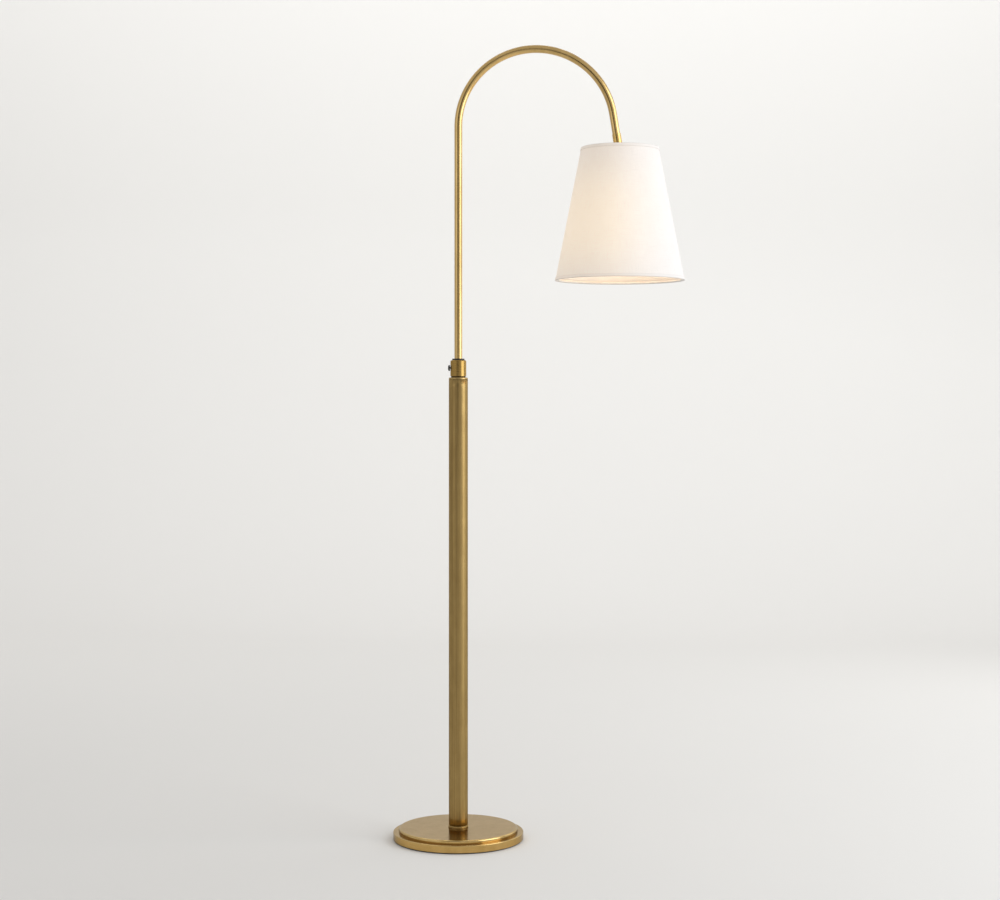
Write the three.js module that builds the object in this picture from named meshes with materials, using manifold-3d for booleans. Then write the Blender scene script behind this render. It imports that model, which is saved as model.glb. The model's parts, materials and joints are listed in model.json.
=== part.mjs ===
// Arc floor lamp: a weighted two-tier base, a column with a clamp collar, a hooked arm that turns and
// slides in the collar, and a lit head that tilts at the arm's end under a tapered fabric shade.
// Millimetres, +Z up. The origin is on the floor at the column's axis, and +X points to the shade.
import * as THREE from 'three';
import { mergeVertices } from 'three/addons/utils/BufferGeometryUtils.js';
import Module from 'manifold-3d';

// ---- Driving dimensions ----

const GAP = 0.3; // between pieces that touch, screw together or turn on each other
const MIN_FILLET = 0.4; // smallest radius left where a wall thins a rounded edge

// Base
const BASE_RADIUS = 130; // outside of the cover's lower tier
const TIER_RADIUS = 118.5; // outside of the upper tier
const BASE_HEIGHT = 24; // floor to the top of the upper tier
const TIER_RISE = 7.5; // how far the upper tier stands above the lower one
const LOWER_EDGE = 1.4; // rounding of the lower tier's rim
const TIER_BEVEL = 4; // rounding of the upper tier's rim
const GROOVE_WIDTH = 1.2; // shadow groove at the foot of the upper tier
const GROOVE_DEPTH = 0.6;
const COVER_WALL = 1.2;
const PAD_THICKNESS = 2;
const PAD_SETBACK = 2.5; // pad edge inside the cover's edge
const NUT_POCKET_RADIUS = 20; // recess in the weight's underside for the stem's nut
const NUT_POCKET_DEPTH = 14.7;
const CHANNEL_WIDTH = 6.4; // groove in the weight's underside that the lead lies in
const CHANNEL_DEPTH = 7.3;

// Stem that pulls the column down on the base
const STEM_RADIUS = 6.5;
const STEM_BORE = 4.6;
const STEM_GRIP = 14; // thread engaged in the column's foot
const STEM_WASHER_RADIUS = 15;
const STEM_WASHER_THICKNESS = 1.6;
const SPRING_WASHER_RADIUS = 10.5;
const SPRING_WASHER_THICKNESS = 1.8;
const SPRING_WASHER_SLIT = 1.5;
const STEM_NUT_FLATS = 22;
const STEM_NUT_THICKNESS = 4.5;

// Cord gland at the back of the base
const GLAND_HEIGHT = 8.6; // its axis above the floor
const GLAND_BODY_RADIUS = 4.4;
const GLAND_FLANGE_RADIUS = 6;
const GLAND_FLANGE = 1.5;
const GLAND_CHAMFER = 0.6;
const GLAND_LENGTH = 16; // inside the cover's wall
const GLAND_POCKET = 28; // depth of its hole in the weight, where the lead dips to the channel

// Column
const COLUMN_RADIUS = 19.05;
const COLUMN_WALL = 1.5;
const COLUMN_TOP = 922.6; // top of the cap's shoulder
const FOOT_FLANGE = 4;
const FOOT_OVERHANG = 0.8; // foot flange beyond the column
const FOOT_CHAMFER = 1.2;
const SPIGOT_LENGTH = 18; // how far the foot and the cap reach into the tube
const CAP_FLANGE = 3.6;
const CAP_ROUNDING = 2.4;

// Clamp collar
const COLLAR_RADIUS = 15.875;
const COLLAR_TOP = 957;
const COLLAR_CHAMFER = 2.4;
const COLLAR_GROOVE_DEPTH = 1.7; // dark groove between the collar and the cap
const COLLAR_GROOVE_HEIGHT = 2.6;
const COLLAR_SPIGOT_WALL = 2.5;
const COLLAR_SPIGOT_LENGTH = 14;

// Split sleeve that the arm slides in, and its clip
const SLEEVE_WALL = 1.9;
const SLEEVE_FLANGE_OVERHANG = 2.2; // flange beyond the sleeve's tube
const SLEEVE_FLANGE = 3;
const SLEEVE_SLIT = 1.4;
const CLIP_THICKNESS = 1.2;
const CLIP_OVERHANG = 2.4; // clip beyond the sleeve's tube
const CLIP_OPENING = 60; // degrees of the ring left open
const CLIP_GROOVE_DEPTH = 0.6;
const SLEEVE_TAIL = 3.6; // sleeve below the collar's spigot

// Thumb screw
const SCREW_HEIGHT = 941.6;
const SCREW_RADIUS = 2;
const KNOB_RADIUS = 6.15;
const KNOB_THICKNESS = 3.8;
const KNOB_STANDOFF = 0.7; // between the collar and the knob when it is tight
const CLAMP_PAD_LENGTH = 1.6;

// Arm
const LAMP_HEIGHT = 1588;
const ARM_RADIUS = 7.95;
const ARM_WALL = 1.2;
const BEND_RADIUS = 155.8; // centreline
const BEND_ANGLE = 170.7; // degrees turned by the hook
const PIVOT_REACH = 82.9; // end of the bend to the tilt pivot, along the arm
const GLIDE_LENGTH = 30;
const FERRULE_WALL = 0.5;
const FERRULE_LENGTH = 24;

// Tilting knuckle, heights measured from its pivot
const TONGUE_THICKNESS = 6;
const TONGUE_EYE_SETBACK = 0.55; // tongue's eye inside the fork's ears
const FRICTION_WASHER_THICKNESS = 0.5;
const FRICTION_WASHER_RADIUS = 7;
const EAR_FLAT_DEPTH = 0.85; // flats for the washers, cut into the ears
const KNUCKLE_CLEARANCE = 1; // between the two halves as they tilt
const FORK_SPIGOT = 14;
const WIREWAY_RADIUS = 2.8;
const WIREWAY_WEB = 1.8; // metal above and below a wireway
const WIREWAY_OVERRUN = 1; // side hole past the middle, where the lead turns
const PIVOT_SCREW_RADIUS = 2;
const PIVOT_HEAD_RADIUS = 4.4;
const PIVOT_HEAD_HEIGHT = 2.6;
const PIVOT_HEAD_ROUNDING = 1;
const PIVOT_NUT_FLATS = 7;
const PIVOT_NUT_THICKNESS = 3.2;
const PIVOT_TAIL = 0.8; // screw end showing past its nut
const PIVOT_WASHER_RADIUS = 4.8;
const PIVOT_WASHER_THICKNESS = 0.8;

// Head stem and lampholder, down from the knuckle
const HEAD_STEM_RADIUS = 4.85;
const HEAD_STEM_GRIP = 9;
const HUB_OVERHANG = 3.25; // hub beyond the knuckle
const HUB_THICKNESS = 2;
const LOCKNUT_FLATS = 16;
const LOCKNUT_THICKNESS = 3;
const HOLDER_NECK_WALL = 2;
const HOLDER_NECK_LENGTH = 8;
const HOLDER_WALL = 0.8;
const HOLDER_DOME = 10;
const HOLDER_SKIRT = 8;
const HOLDER_SHELL_LENGTH = 44;
const SHELL_WALL = 0.6;
const PAPER_WALL = 0.4;
const SCREW_SHELL_WALL = 0.5;
const CORE_LENGTH = 17;
const KEY_DROP = 4; // switch shaft's axis below the cap's skirt
const TERMINAL_RADIUS = 1.6;
const TERMINAL_HEAD_RADIUS = 3.2;
const TERMINAL_HEAD = 1;
const TERMINAL_DEPTH = 5;
const CONTACT_RADIUS = 4;
const CONTACT_THICKNESS = 0.8;
const SHAFT_RADIUS = 1.7;
const SHAFT_LENGTH = 17;
const SHAFT_DEPTH = 7; // how far the shaft reaches into the core
const KEY_WIDTH = 13;
const KEY_THICKNESS = 4;
const KEY_LENGTH = 8;

// Bulb
const BULB_RADIUS = 30;
const BULB_LENGTH = 84; // glass below its cap
const BULB_WALL = 0.8;
const BULB_NECK_SETBACK = 0.5; // glass neck inside the cap's radius
const BULB_CAP_RADIUS = 12.9;
const BULB_CAP_LENGTH = 22;
const BULB_CAP_WALL = 0.5;
const THREAD_PITCH = 3.6;
const THREAD_DEPTH = 0.8;
const THREAD_CLEARANCE = 0.4;
const BULB_TIP = 2;

// Shade
const SHADE_TOP_RADIUS = 78;
const SHADE_BOTTOM_RADIUS = 130;
const SHADE_HEIGHT = 265.5;
const SHADE_RISE = 14.4; // shade top above the tilt pivot
const HEM_THICKNESS = 0.5;
const HEM_DEPTH = 6;
const FABRIC_THICKNESS = 0.8;
const LINER_THICKNESS = 1;
const WIRE_RADIUS = 1.6;
const SPIDER_ARMS = 3;
const SPIDER_ARM_RADIUS = 1.5;

// Leads inside the lamp
const LEAD_RADIUS = 2;
const LEAD_SIDES = 8;
const LEAD_BEND = 4.5;
const LEAD_DIP = 4; // a quarter of the way that the lead takes down to the channel
const LEAD_STUB = 6; // base lead above the column's foot
const LEAD_SLACK = 5; // sideways waves of the lead in the column
const LEAD_WAVES = 4;
const KNUCKLE_LOOP_CLEARANCE = 5; // between the pivot screw's head and the lead that passes it

// Sides of the round pieces
const BASE_SIDES = 48;
const SHADE_SIDES = 36;
const COLUMN_SIDES = 24;
const SMALL_SIDES = 16;
const ARM_SIDES = 16;
const TINY_SIDES = 12;
const WIRE_SIDES = 6;

// ---- Sizes that follow from them ----

const radians = THREE.MathUtils.degToRad;

const lowerTop = BASE_HEIGHT - TIER_RISE;
const coverBottom = PAD_THICKNESS + GAP;
const weightInset = COVER_WALL + GAP;
const nutPocketTop = coverBottom + NUT_POCKET_DEPTH;
const columnBore = COLUMN_RADIUS - COLUMN_WALL;
const columnFootTop = BASE_HEIGHT + GAP + FOOT_FLANGE;
const stemTop = columnFootTop + STEM_GRIP - FOOT_FLANGE;
const capBottom = COLUMN_TOP - CAP_FLANGE;
const capSpigotBottom = capBottom - SPIGOT_LENGTH;
const collarBottom = COLUMN_TOP + GAP;
const spigotBottom = COLUMN_TOP - COLLAR_SPIGOT_LENGTH;
const sleeveBore = ARM_RADIUS + GAP;
const sleeveRadius = sleeveBore + SLEEVE_WALL;
const sleeveFlangeRadius = sleeveRadius + SLEEVE_FLANGE_OVERHANG;
const collarSpigotRadius = sleeveRadius + GAP + COLLAR_SPIGOT_WALL;
const collarNeckRadius = COLLAR_RADIUS - COLLAR_GROOVE_DEPTH;
const sleeveBottom = spigotBottom - SLEEVE_TAIL;
const clipBottom = spigotBottom - GAP - CLIP_THICKNESS;
const glideTop = Math.min(sleeveBottom, capSpigotBottom) - GAP; // the cap stops the arm's glide
const armBottom = glideTop - GLIDE_LENGTH;
const armBore = ARM_RADIUS - ARM_WALL;
const bendStart = LAMP_HEIGHT - ARM_RADIUS - BEND_RADIUS;
const earRadius = ARM_RADIUS + GAP + FERRULE_WALL; // the knuckle is as thick as the ferrule
const earFlat = earRadius - EAR_FLAT_DEPTH;
const eyeRadius = earRadius - TONGUE_EYE_SETBACK;
const endTilt = radians(180 - BEND_ANGLE); // the arm's end from plumb
const bendEnd = new THREE.Vector3(
  BEND_RADIUS * (1 + Math.cos(endTilt)), 0, bendStart + BEND_RADIUS * Math.sin(endTilt));
const endDirection = new THREE.Vector3(Math.sin(endTilt), 0, -Math.cos(endTilt));
const pivot = bendEnd.clone().addScaledVector(endDirection, PIVOT_REACH);
const washerOutside = earFlat + GAP + PIVOT_WASHER_THICKNESS;
const pivotHeadEnd = washerOutside + GAP + PIVOT_HEAD_HEIGHT;
const knuckleLoop = pivotHeadEnd + KNUCKLE_LOOP_CLEARANCE + LEAD_RADIUS;
const forkSlotTop = eyeRadius + KNUCKLE_CLEARANCE;
const forkWireHeight = forkSlotTop + WIREWAY_WEB + WIREWAY_RADIUS;
const forkTop = forkWireHeight + WIREWAY_RADIUS + WIREWAY_WEB;
const tongueShoulder = -(earRadius + KNUCKLE_CLEARANCE);
const tongueWireHeight = tongueShoulder - WIREWAY_WEB - WIREWAY_RADIUS;
const tongueBottom = tongueWireHeight - WIREWAY_RADIUS - WIREWAY_WEB - HEAD_STEM_GRIP;
const slotHalf = TONGUE_THICKNESS / 2 + FRICTION_WASHER_THICKNESS + 2 * GAP;
const hubRadius = earRadius + HUB_OVERHANG;
const hubTop = tongueBottom - GAP;
const locknutTop = hubTop - HUB_THICKNESS - GAP;
const holderTop = locknutTop - LOCKNUT_THICKNESS - GAP;
const domeTop = holderTop - HOLDER_NECK_LENGTH;
const skirtTop = domeTop - HOLDER_DOME;
const coreRadius = BULB_CAP_RADIUS + THREAD_CLEARANCE + SCREW_SHELL_WALL;
const paperRadius = coreRadius + GAP + PAPER_WALL;
const shellRadius = paperRadius + GAP + SHELL_WALL;
const holderCapRadius = shellRadius + GAP + HOLDER_WALL;
const holderNeckRadius = HEAD_STEM_RADIUS + GAP + HOLDER_NECK_WALL;
const bulbNeckRadius = BULB_CAP_RADIUS - BULB_NECK_SETBACK;
const skirtBottom = skirtTop - HOLDER_SKIRT;
const shellTop = skirtTop - GAP;
const shellBottom = shellTop - HOLDER_SHELL_LENGTH;
const keyHeight = skirtBottom - KEY_DROP;
const coreTop = keyHeight + CORE_LENGTH / 2;
const coreBottom = coreTop - CORE_LENGTH;
const contactTop = coreBottom - GAP;
const bulbTipTop = contactTop - CONTACT_THICKNESS - GAP;
const bulbCapTop = bulbTipTop - BULB_TIP - GAP;
const bulbCapBottom = bulbCapTop - BULB_CAP_LENGTH;
const shadeBottom = SHADE_RISE - SHADE_HEIGHT;
const shadeSlope = (SHADE_BOTTOM_RADIUS - SHADE_TOP_RADIUS) / SHADE_HEIGHT;
const fabricInset = HEM_THICKNESS + GAP;
const linerInset = fabricInset + FABRIC_THICKNESS + GAP;
const innerHemInset = linerInset + LINER_THICKNESS + GAP;
const wireInset = innerHemInset + HEM_THICKNESS + GAP + WIRE_RADIUS / Math.cos(Math.atan(shadeSlope));
const wireFromRim = HEM_THICKNESS + GAP + WIRE_RADIUS;

// ---- Materials ----

function material(color, roughness, metalness = 0) {
  return new THREE.MeshStandardMaterial({ color, roughness, metalness });
}

const antiqueBrass = material(0x9a7a3e, 0.42, 1);
const satinBrass = material(0xb08a3c, 0.28, 1);
const rawBrass = material(0xb8954a, 0.35, 1);
const castIron = material(0x3a3a3c, 0.75, 0.6);
const zincSteel = material(0xa9abad, 0.35, 1);
const blackFelt = material(0x161514, 0.95);
const blackNylon = material(0x1c1a18, 0.5);
const blackEnamel = material(0x0d0c0b, 0.3);
const fibre = material(0x6b4a33, 0.85);
const whiteLinen = material(0xf4f0e8, 0.9);
const whiteStyrene = material(0xfaf6ee, 0.6);
const whiteEnamel = material(0xe8e6e0, 0.4);
const opalGlass = material(0xfff4e0, 0.25);
const leadVinyl = material(0x2a2622, 0.55);

// ---- Shapes ----

// A solid turned about Z from [radius, height] points, listed anticlockwise with the axis on the left
function turned(profile, sides) {
  const points = profile.map(([radius, height]) => new THREE.Vector2(radius, height));
  return new THREE.LatheGeometry(points, sides).rotateX(Math.PI / 2);
}

// A solid round bar
function bar(radius, bottom, top, sides) {
  return turned([[0, bottom], [radius, bottom], [radius, top], [0, top]], sides);
}

// A turned ring of rectangular section
function ring(bore, radius, bottom, top, sides) {
  return turned([[bore, bottom], [radius, bottom], [radius, top], [bore, top], [bore, bottom]], sides);
}

// Points of a circular arc in a turned profile, angles in degrees from the +radius direction
function arc(centreRadius, centreHeight, radius, from, to, steps) {
  return Array.from({ length: steps + 1 }, (_, i) => {
    const angle = radians(from + (to - from) * i / steps);
    return [centreRadius + radius * Math.cos(angle), centreHeight + radius * Math.sin(angle)];
  });
}

// A block with opposite corners at low and high
function block(low, high) {
  const size = high.map((value, axis) => value - low[axis]);
  const centre = high.map((value, axis) => (value + low[axis]) / 2);
  return new THREE.BoxGeometry(...size).translate(...centre);
}

// A hexagonal nut about Z with a round bore
function hexNut(flats, bore, bottom, top) {
  const corner = flats / 2 / Math.cos(Math.PI / 6);
  return cut(bar(corner, bottom, top, 6), bar(bore, bottom - 1, top + 1, SMALL_SIDES));
}

// Lays a solid that was made about Z along +X, -X or Y instead
const alongX = (geometry) => geometry.rotateY(Math.PI / 2);
const alongMinusX = (geometry) => geometry.rotateY(-Math.PI / 2);
const alongY = (geometry) => geometry.rotateX(-Math.PI / 2);
const alongMinusY = (geometry) => geometry.rotateX(Math.PI / 2);

// A chain of curves, each walked in its own number of steps
class SteppedPath extends THREE.Curve {
  constructor(stretches) {
    super();
    this.stretches = stretches;
    this.steps = stretches.reduce((sum, stretch) => sum + stretch.steps, 0);
  }

  getPoint(t) {
    let step = t * this.steps;
    for (const { curve, steps } of this.stretches) {
      if (step <= steps) {
        return curve.getPoint(step / steps);
      }
      step -= steps;
    }
    return this.stretches.at(-1).curve.getPoint(1);
  }

  getUtoTmapping(u) {
    return u;
  }
}

// The hook of the arm: an arc in the XZ plane that leaves the column's axis upwards
class HookCurve extends THREE.Curve {
  getPoint(t) {
    const turn = radians(BEND_ANGLE) * t;
    return new THREE.Vector3(
      BEND_RADIUS * (1 - Math.cos(turn)), 0, bendStart + BEND_RADIUS * Math.sin(turn));
  }
}

function circle(radius, sides) {
  const shape = new THREE.Shape();
  for (let i = 0; i < sides; i += 1) {
    const angle = 2 * Math.PI * i / sides;
    const point = [radius * Math.cos(angle), radius * Math.sin(angle)];
    if (i === 0) {
      shape.moveTo(...point);
    } else {
      shape.lineTo(...point);
    }
  }
  shape.closePath();
  return shape;
}

// A flat outline in the XY plane, raised to a height
function prism(shape, depth, curveSegments) {
  return new THREE.ExtrudeGeometry(shape, { depth, bevelEnabled: false, curveSegments });
}

function swept(shape, path) {
  return new THREE.ExtrudeGeometry(shape, { steps: path.steps, extrudePath: path, bevelEnabled: false });
}

// A lead through hand-placed points, with its corners rounded off
function lead(points, steps = 4) {
  const corners = points.map((point) => new THREE.Vector3(...point));
  const stretches = [];
  let start = corners[0];
  for (let i = 1; i < corners.length - 1; i += 1) {
    const before = corners[i - 1].distanceTo(corners[i]) / 2;
    const after = corners[i].distanceTo(corners[i + 1]) / 2;
    const bend = Math.min(LEAD_BEND, before, after);
    const enter = corners[i].clone().lerp(corners[i - 1], bend / (2 * before));
    const leave = corners[i].clone().lerp(corners[i + 1], bend / (2 * after));
    if (start.distanceTo(enter) > GAP) {
      stretches.push({ curve: new THREE.LineCurve3(start, enter), steps: 1 });
    }
    stretches.push({ curve: new THREE.QuadraticBezierCurve3(enter, corners[i], leave), steps });
    start = leave;
  }
  stretches.push({ curve: new THREE.LineCurve3(start, corners.at(-1)), steps: 1 });
  return swept(circle(LEAD_RADIUS, LEAD_SIDES), new SteppedPath(stretches));
}

// ---- Cutting and joining closed solids ----

const wasm = await Module();
wasm.setup();

function solid(geometry) {
  const bare = geometry.clone();
  bare.deleteAttribute('normal');
  bare.deleteAttribute('uv');
  const merged = mergeVertices(bare, 1e-4);
  return new wasm.Manifold(new wasm.Mesh({
    numProp: 3,
    vertProperties: merged.attributes.position.array,
    triVerts: new Uint32Array(merged.index.array),
  }));
}

function geometryOf(body) {
  const mesh = body.getMesh();
  const geometry = new THREE.BufferGeometry();
  geometry.setAttribute('position', new THREE.BufferAttribute(mesh.vertProperties, 3));
  geometry.setIndex(new THREE.BufferAttribute(mesh.triVerts, 1));
  geometry.computeVertexNormals();
  return geometry;
}

function cut(geometry, ...tools) {
  return geometryOf(tools.reduce((body, tool) => body.subtract(solid(tool)), solid(geometry)));
}

function join(geometry, ...others) {
  return geometryOf(others.reduce((body, other) => body.add(solid(other)), solid(geometry)));
}

function overlapOf(geometry, other) {
  return geometryOf(solid(geometry).intersect(solid(other)));
}

// ---- Base ----

// Outer outline of the base cover from its bottom edge to the top, moved inwards by inset
function tierOutline(inset, steps, groove = false) {
  const edge = Math.max(LOWER_EDGE - inset, MIN_FILLET);
  const bevel = Math.max(TIER_BEVEL - inset, MIN_FILLET);
  const radius = BASE_RADIUS - inset;
  const tier = TIER_RADIUS - inset;
  const shelf = lowerTop - inset;
  const top = BASE_HEIGHT - inset;
  const floor = shelf - GROOVE_DEPTH;
  const corner = groove
    ? [[tier + GROOVE_WIDTH, shelf], [tier + GROOVE_WIDTH, floor], [tier, floor]]
    : [[tier, shelf]];
  return [
    [radius, coverBottom],
    ...arc(radius - edge, shelf - edge, edge, 0, 90, steps),
    ...corner,
    ...arc(tier - bevel, top - bevel, bevel, 0, 90, 1 + steps),
  ];
}

function basePad() {
  return bar(BASE_RADIUS - PAD_SETBACK, 0, PAD_THICKNESS, BASE_SIDES);
}

function baseCover() {
  const bore = STEM_RADIUS + GAP;
  const outside = tierOutline(0, 2, true);
  const inside = tierOutline(COVER_WALL, 1).reverse();
  const shell = turned([
    ...outside,
    [bore, BASE_HEIGHT],
    [bore, BASE_HEIGHT - COVER_WALL],
    ...inside,
    outside[0],
  ], BASE_SIDES);
  return cut(shell, glandHole(GLAND_LENGTH));
}

// The gland's hole, from the back of the base to a depth inside it
function glandHole(depth) {
  const hole = bar(GLAND_BODY_RADIUS + GAP, BASE_RADIUS - depth, BASE_RADIUS + 1, SMALL_SIDES);
  return alongY(hole).translate(0, 0, GLAND_HEIGHT);
}

function baseWeight() {
  const outline = tierOutline(weightInset, 1);
  const bore = STEM_RADIUS + GAP;
  const disc = turned([
    [NUT_POCKET_RADIUS, coverBottom],
    ...outline,
    [bore, BASE_HEIGHT - weightInset],
    [bore, nutPocketTop],
    [NUT_POCKET_RADIUS, nutPocketTop],
    [NUT_POCKET_RADIUS, coverBottom],
  ], BASE_SIDES);
  const channel = block(
    [-CHANNEL_WIDTH / 2, NUT_POCKET_RADIUS / 2, coverBottom - 1],
    [CHANNEL_WIDTH / 2, BASE_RADIUS - GLAND_LENGTH, coverBottom + CHANNEL_DEPTH]);
  return cut(disc, channel, glandHole(GLAND_POCKET));
}

function cordGland() {
  const flangeStart = BASE_RADIUS + GAP;
  const start = BASE_RADIUS - GLAND_LENGTH;
  const bore = LEAD_RADIUS + GAP;
  const body = turned([
    [bore, start],
    [GLAND_BODY_RADIUS, start],
    [GLAND_BODY_RADIUS, flangeStart],
    [GLAND_FLANGE_RADIUS, flangeStart],
    [GLAND_FLANGE_RADIUS - GLAND_CHAMFER, flangeStart + GLAND_FLANGE],
    [bore, flangeStart + GLAND_FLANGE],
    [bore, start],
  ], SMALL_SIDES);
  return alongY(body).translate(0, 0, GLAND_HEIGHT);
}

const washerTop = nutPocketTop - GAP;
const springWasherTop = washerTop - STEM_WASHER_THICKNESS - GAP;
const stemNutTop = springWasherTop - SPRING_WASHER_THICKNESS - GAP;
const stemNutBottom = stemNutTop - STEM_NUT_THICKNESS;

function baseStem() {
  return ring(STEM_BORE, STEM_RADIUS, stemNutBottom, stemTop, SMALL_SIDES);
}

function stemWasher() {
  const bottom = washerTop - STEM_WASHER_THICKNESS;
  return ring(STEM_RADIUS + GAP, STEM_WASHER_RADIUS, bottom, washerTop, SMALL_SIDES);
}

function springWasher() {
  const bottom = springWasherTop - SPRING_WASHER_THICKNESS;
  const whole = ring(STEM_RADIUS + GAP, SPRING_WASHER_RADIUS, bottom, springWasherTop, SMALL_SIDES);
  const slit = block(
    [0, -SPRING_WASHER_SLIT / 2, bottom - 1],
    [STEM_WASHER_RADIUS, SPRING_WASHER_SLIT / 2, springWasherTop + 1]);
  return cut(whole, slit);
}

function stemNut() {
  return hexNut(STEM_NUT_FLATS, STEM_RADIUS + GAP, stemNutBottom, stemNutTop);
}

// ---- Column and collar ----

function columnFoot() {
  const bottom = BASE_HEIGHT + GAP;
  const radius = COLUMN_RADIUS + FOOT_OVERHANG;
  const spigot = columnBore - GAP;
  const bore = STEM_RADIUS + GAP;
  const top = columnFootTop + SPIGOT_LENGTH;
  return turned([
    [bore, bottom],
    [radius, bottom],
    [radius, columnFootTop - FOOT_CHAMFER],
    [radius - FOOT_CHAMFER, columnFootTop],
    [spigot, columnFootTop],
    [spigot, top],
    [bore, top],
    [bore, bottom],
  ], COLUMN_SIDES);
}

function columnTube() {
  return ring(columnBore, COLUMN_RADIUS, columnFootTop + GAP, capBottom - GAP, COLUMN_SIDES);
}

function columnCap() {
  const spigot = columnBore - GAP;
  const bore = collarSpigotRadius + GAP;
  const rounding = Math.min(CAP_ROUNDING, CAP_FLANGE);
  return turned([
    [bore, capSpigotBottom],
    [spigot, capSpigotBottom],
    [spigot, capBottom],
    [COLUMN_RADIUS, capBottom],
    ...arc(COLUMN_RADIUS - rounding, COLUMN_TOP - rounding, rounding, 0, 90, 4),
    [bore, COLUMN_TOP],
    [bore, capSpigotBottom],
  ], COLUMN_SIDES);
}

function clampCollar() {
  const bore = sleeveRadius + GAP;
  const neckTop = collarBottom + COLLAR_GROOVE_HEIGHT;
  const body = turned([
    [bore, spigotBottom],
    [collarSpigotRadius, spigotBottom],
    [collarSpigotRadius, collarBottom],
    [collarNeckRadius, collarBottom],
    [collarNeckRadius, neckTop],
    [COLLAR_RADIUS, neckTop],
    [COLLAR_RADIUS, COLLAR_TOP - COLLAR_CHAMFER],
    [COLLAR_RADIUS - COLLAR_CHAMFER, COLLAR_TOP],
    [bore, COLLAR_TOP],
    [bore, spigotBottom],
  ], COLUMN_SIDES);
  const screwHole = alongMinusX(bar(SCREW_RADIUS + GAP, 0, COLLAR_RADIUS + 1, TINY_SIDES));
  return cut(body, screwHole.translate(0, 0, SCREW_HEIGHT));
}

function clampSleeve() {
  const flangeBottom = COLLAR_TOP + GAP;
  const flangeTop = flangeBottom + SLEEVE_FLANGE;
  const clipTop = clipBottom + CLIP_THICKNESS;
  const groove = sleeveRadius - CLIP_GROOVE_DEPTH;
  const whole = turned([
    [sleeveBore, sleeveBottom],
    [sleeveRadius, sleeveBottom],
    [sleeveRadius, clipBottom - GAP],
    [groove, clipBottom - GAP],
    [groove, clipTop + GAP / 2],
    [sleeveRadius, clipTop + GAP / 2],
    [sleeveRadius, flangeBottom],
    [sleeveFlangeRadius, flangeBottom],
    [sleeveFlangeRadius, flangeTop],
    [sleeveBore, flangeTop],
    [sleeveBore, sleeveBottom],
  ], COLUMN_SIDES);
  const slit = block(
    [-SLEEVE_SLIT / 2, 0, sleeveBottom - 1], [SLEEVE_SLIT / 2, sleeveFlangeRadius + 1, flangeTop + 1]);
  return cut(whole, slit);
}

// Open spring ring in the groove under the collar, which keeps the sleeve from lifting out
function sleeveClip() {
  const bore = sleeveRadius - CLIP_GROOVE_DEPTH + GAP;
  const half = radians(CLIP_OPENING / 2);
  const section = new THREE.Shape();
  section.absarc(0, 0, sleeveRadius + CLIP_OVERHANG, half, 2 * Math.PI - half, false);
  section.absarc(0, 0, bore, 2 * Math.PI - half, half, true);
  return prism(section, CLIP_THICKNESS, COLUMN_SIDES).translate(0, 0, clipBottom);
}

function clampPad() {
  const start = sleeveRadius + GAP;
  const pad = bar(SCREW_RADIUS, start, start + CLAMP_PAD_LENGTH, TINY_SIDES);
  return alongMinusX(pad).translate(0, 0, SCREW_HEIGHT);
}

const knobStart = COLLAR_RADIUS + KNOB_STANDOFF;

function thumbScrew() {
  const start = sleeveRadius + GAP + CLAMP_PAD_LENGTH + GAP;
  return alongMinusX(bar(SCREW_RADIUS, start, knobStart, TINY_SIDES)).translate(0, 0, SCREW_HEIGHT);
}

// Low domed knob, screwed on the thumb screw's end
function thumbKnob() {
  const start = knobStart + GAP;
  const sphere = (KNOB_RADIUS ** 2 + KNOB_THICKNESS ** 2) / (2 * KNOB_THICKNESS);
  const rim = THREE.MathUtils.radToDeg(Math.asin(KNOB_RADIUS / sphere));
  const dome = arc(0, start + KNOB_THICKNESS - sphere, sphere, 90 - rim, 90, 6);
  dome.at(-1)[0] = 0;
  return alongMinusX(turned([[0, start], ...dome], SMALL_SIDES)).translate(0, 0, SCREW_HEIGHT);
}

// ---- Arm ----

// The arm's centreline from a height in the column to a distance past the bend
function armPath(bottom, tail, steps) {
  const foot = new THREE.Vector3(0, 0, bottom);
  const shoulder = new THREE.Vector3(0, 0, bendStart);
  const end = bendEnd.clone().addScaledVector(endDirection, tail);
  return new SteppedPath([
    { curve: new THREE.LineCurve3(foot, shoulder), steps: 2 },
    { curve: new HookCurve(), steps },
    { curve: new THREE.LineCurve3(bendEnd, end), steps: 1 },
  ]);
}

const tubeTail = PIVOT_REACH - forkTop - GAP;

function armTube() {
  const section = circle(ARM_RADIUS, ARM_SIDES);
  section.holes.push(circle(armBore, ARM_SIDES));
  return swept(section, armPath(armBottom, tubeTail, 20));
}

function armGlide() {
  return ring(ARM_RADIUS + GAP, columnBore - GAP, armBottom, glideTop, COLUMN_SIDES);
}

// The pieces at the arm's end are made about the pivot, with +Z back up the arm

function armFerrule() {
  const bore = ARM_RADIUS + GAP;
  const bottom = forkTop + GAP;
  return ring(bore, bore + FERRULE_WALL, bottom, bottom + FERRULE_LENGTH, COLUMN_SIDES);
}

// Hole for the lead from just past the middle of the knuckle out through its back
function sideWireway() {
  return alongY(bar(WIREWAY_RADIUS, -WIREWAY_OVERRUN, 2 * earRadius, TINY_SIDES));
}

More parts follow.
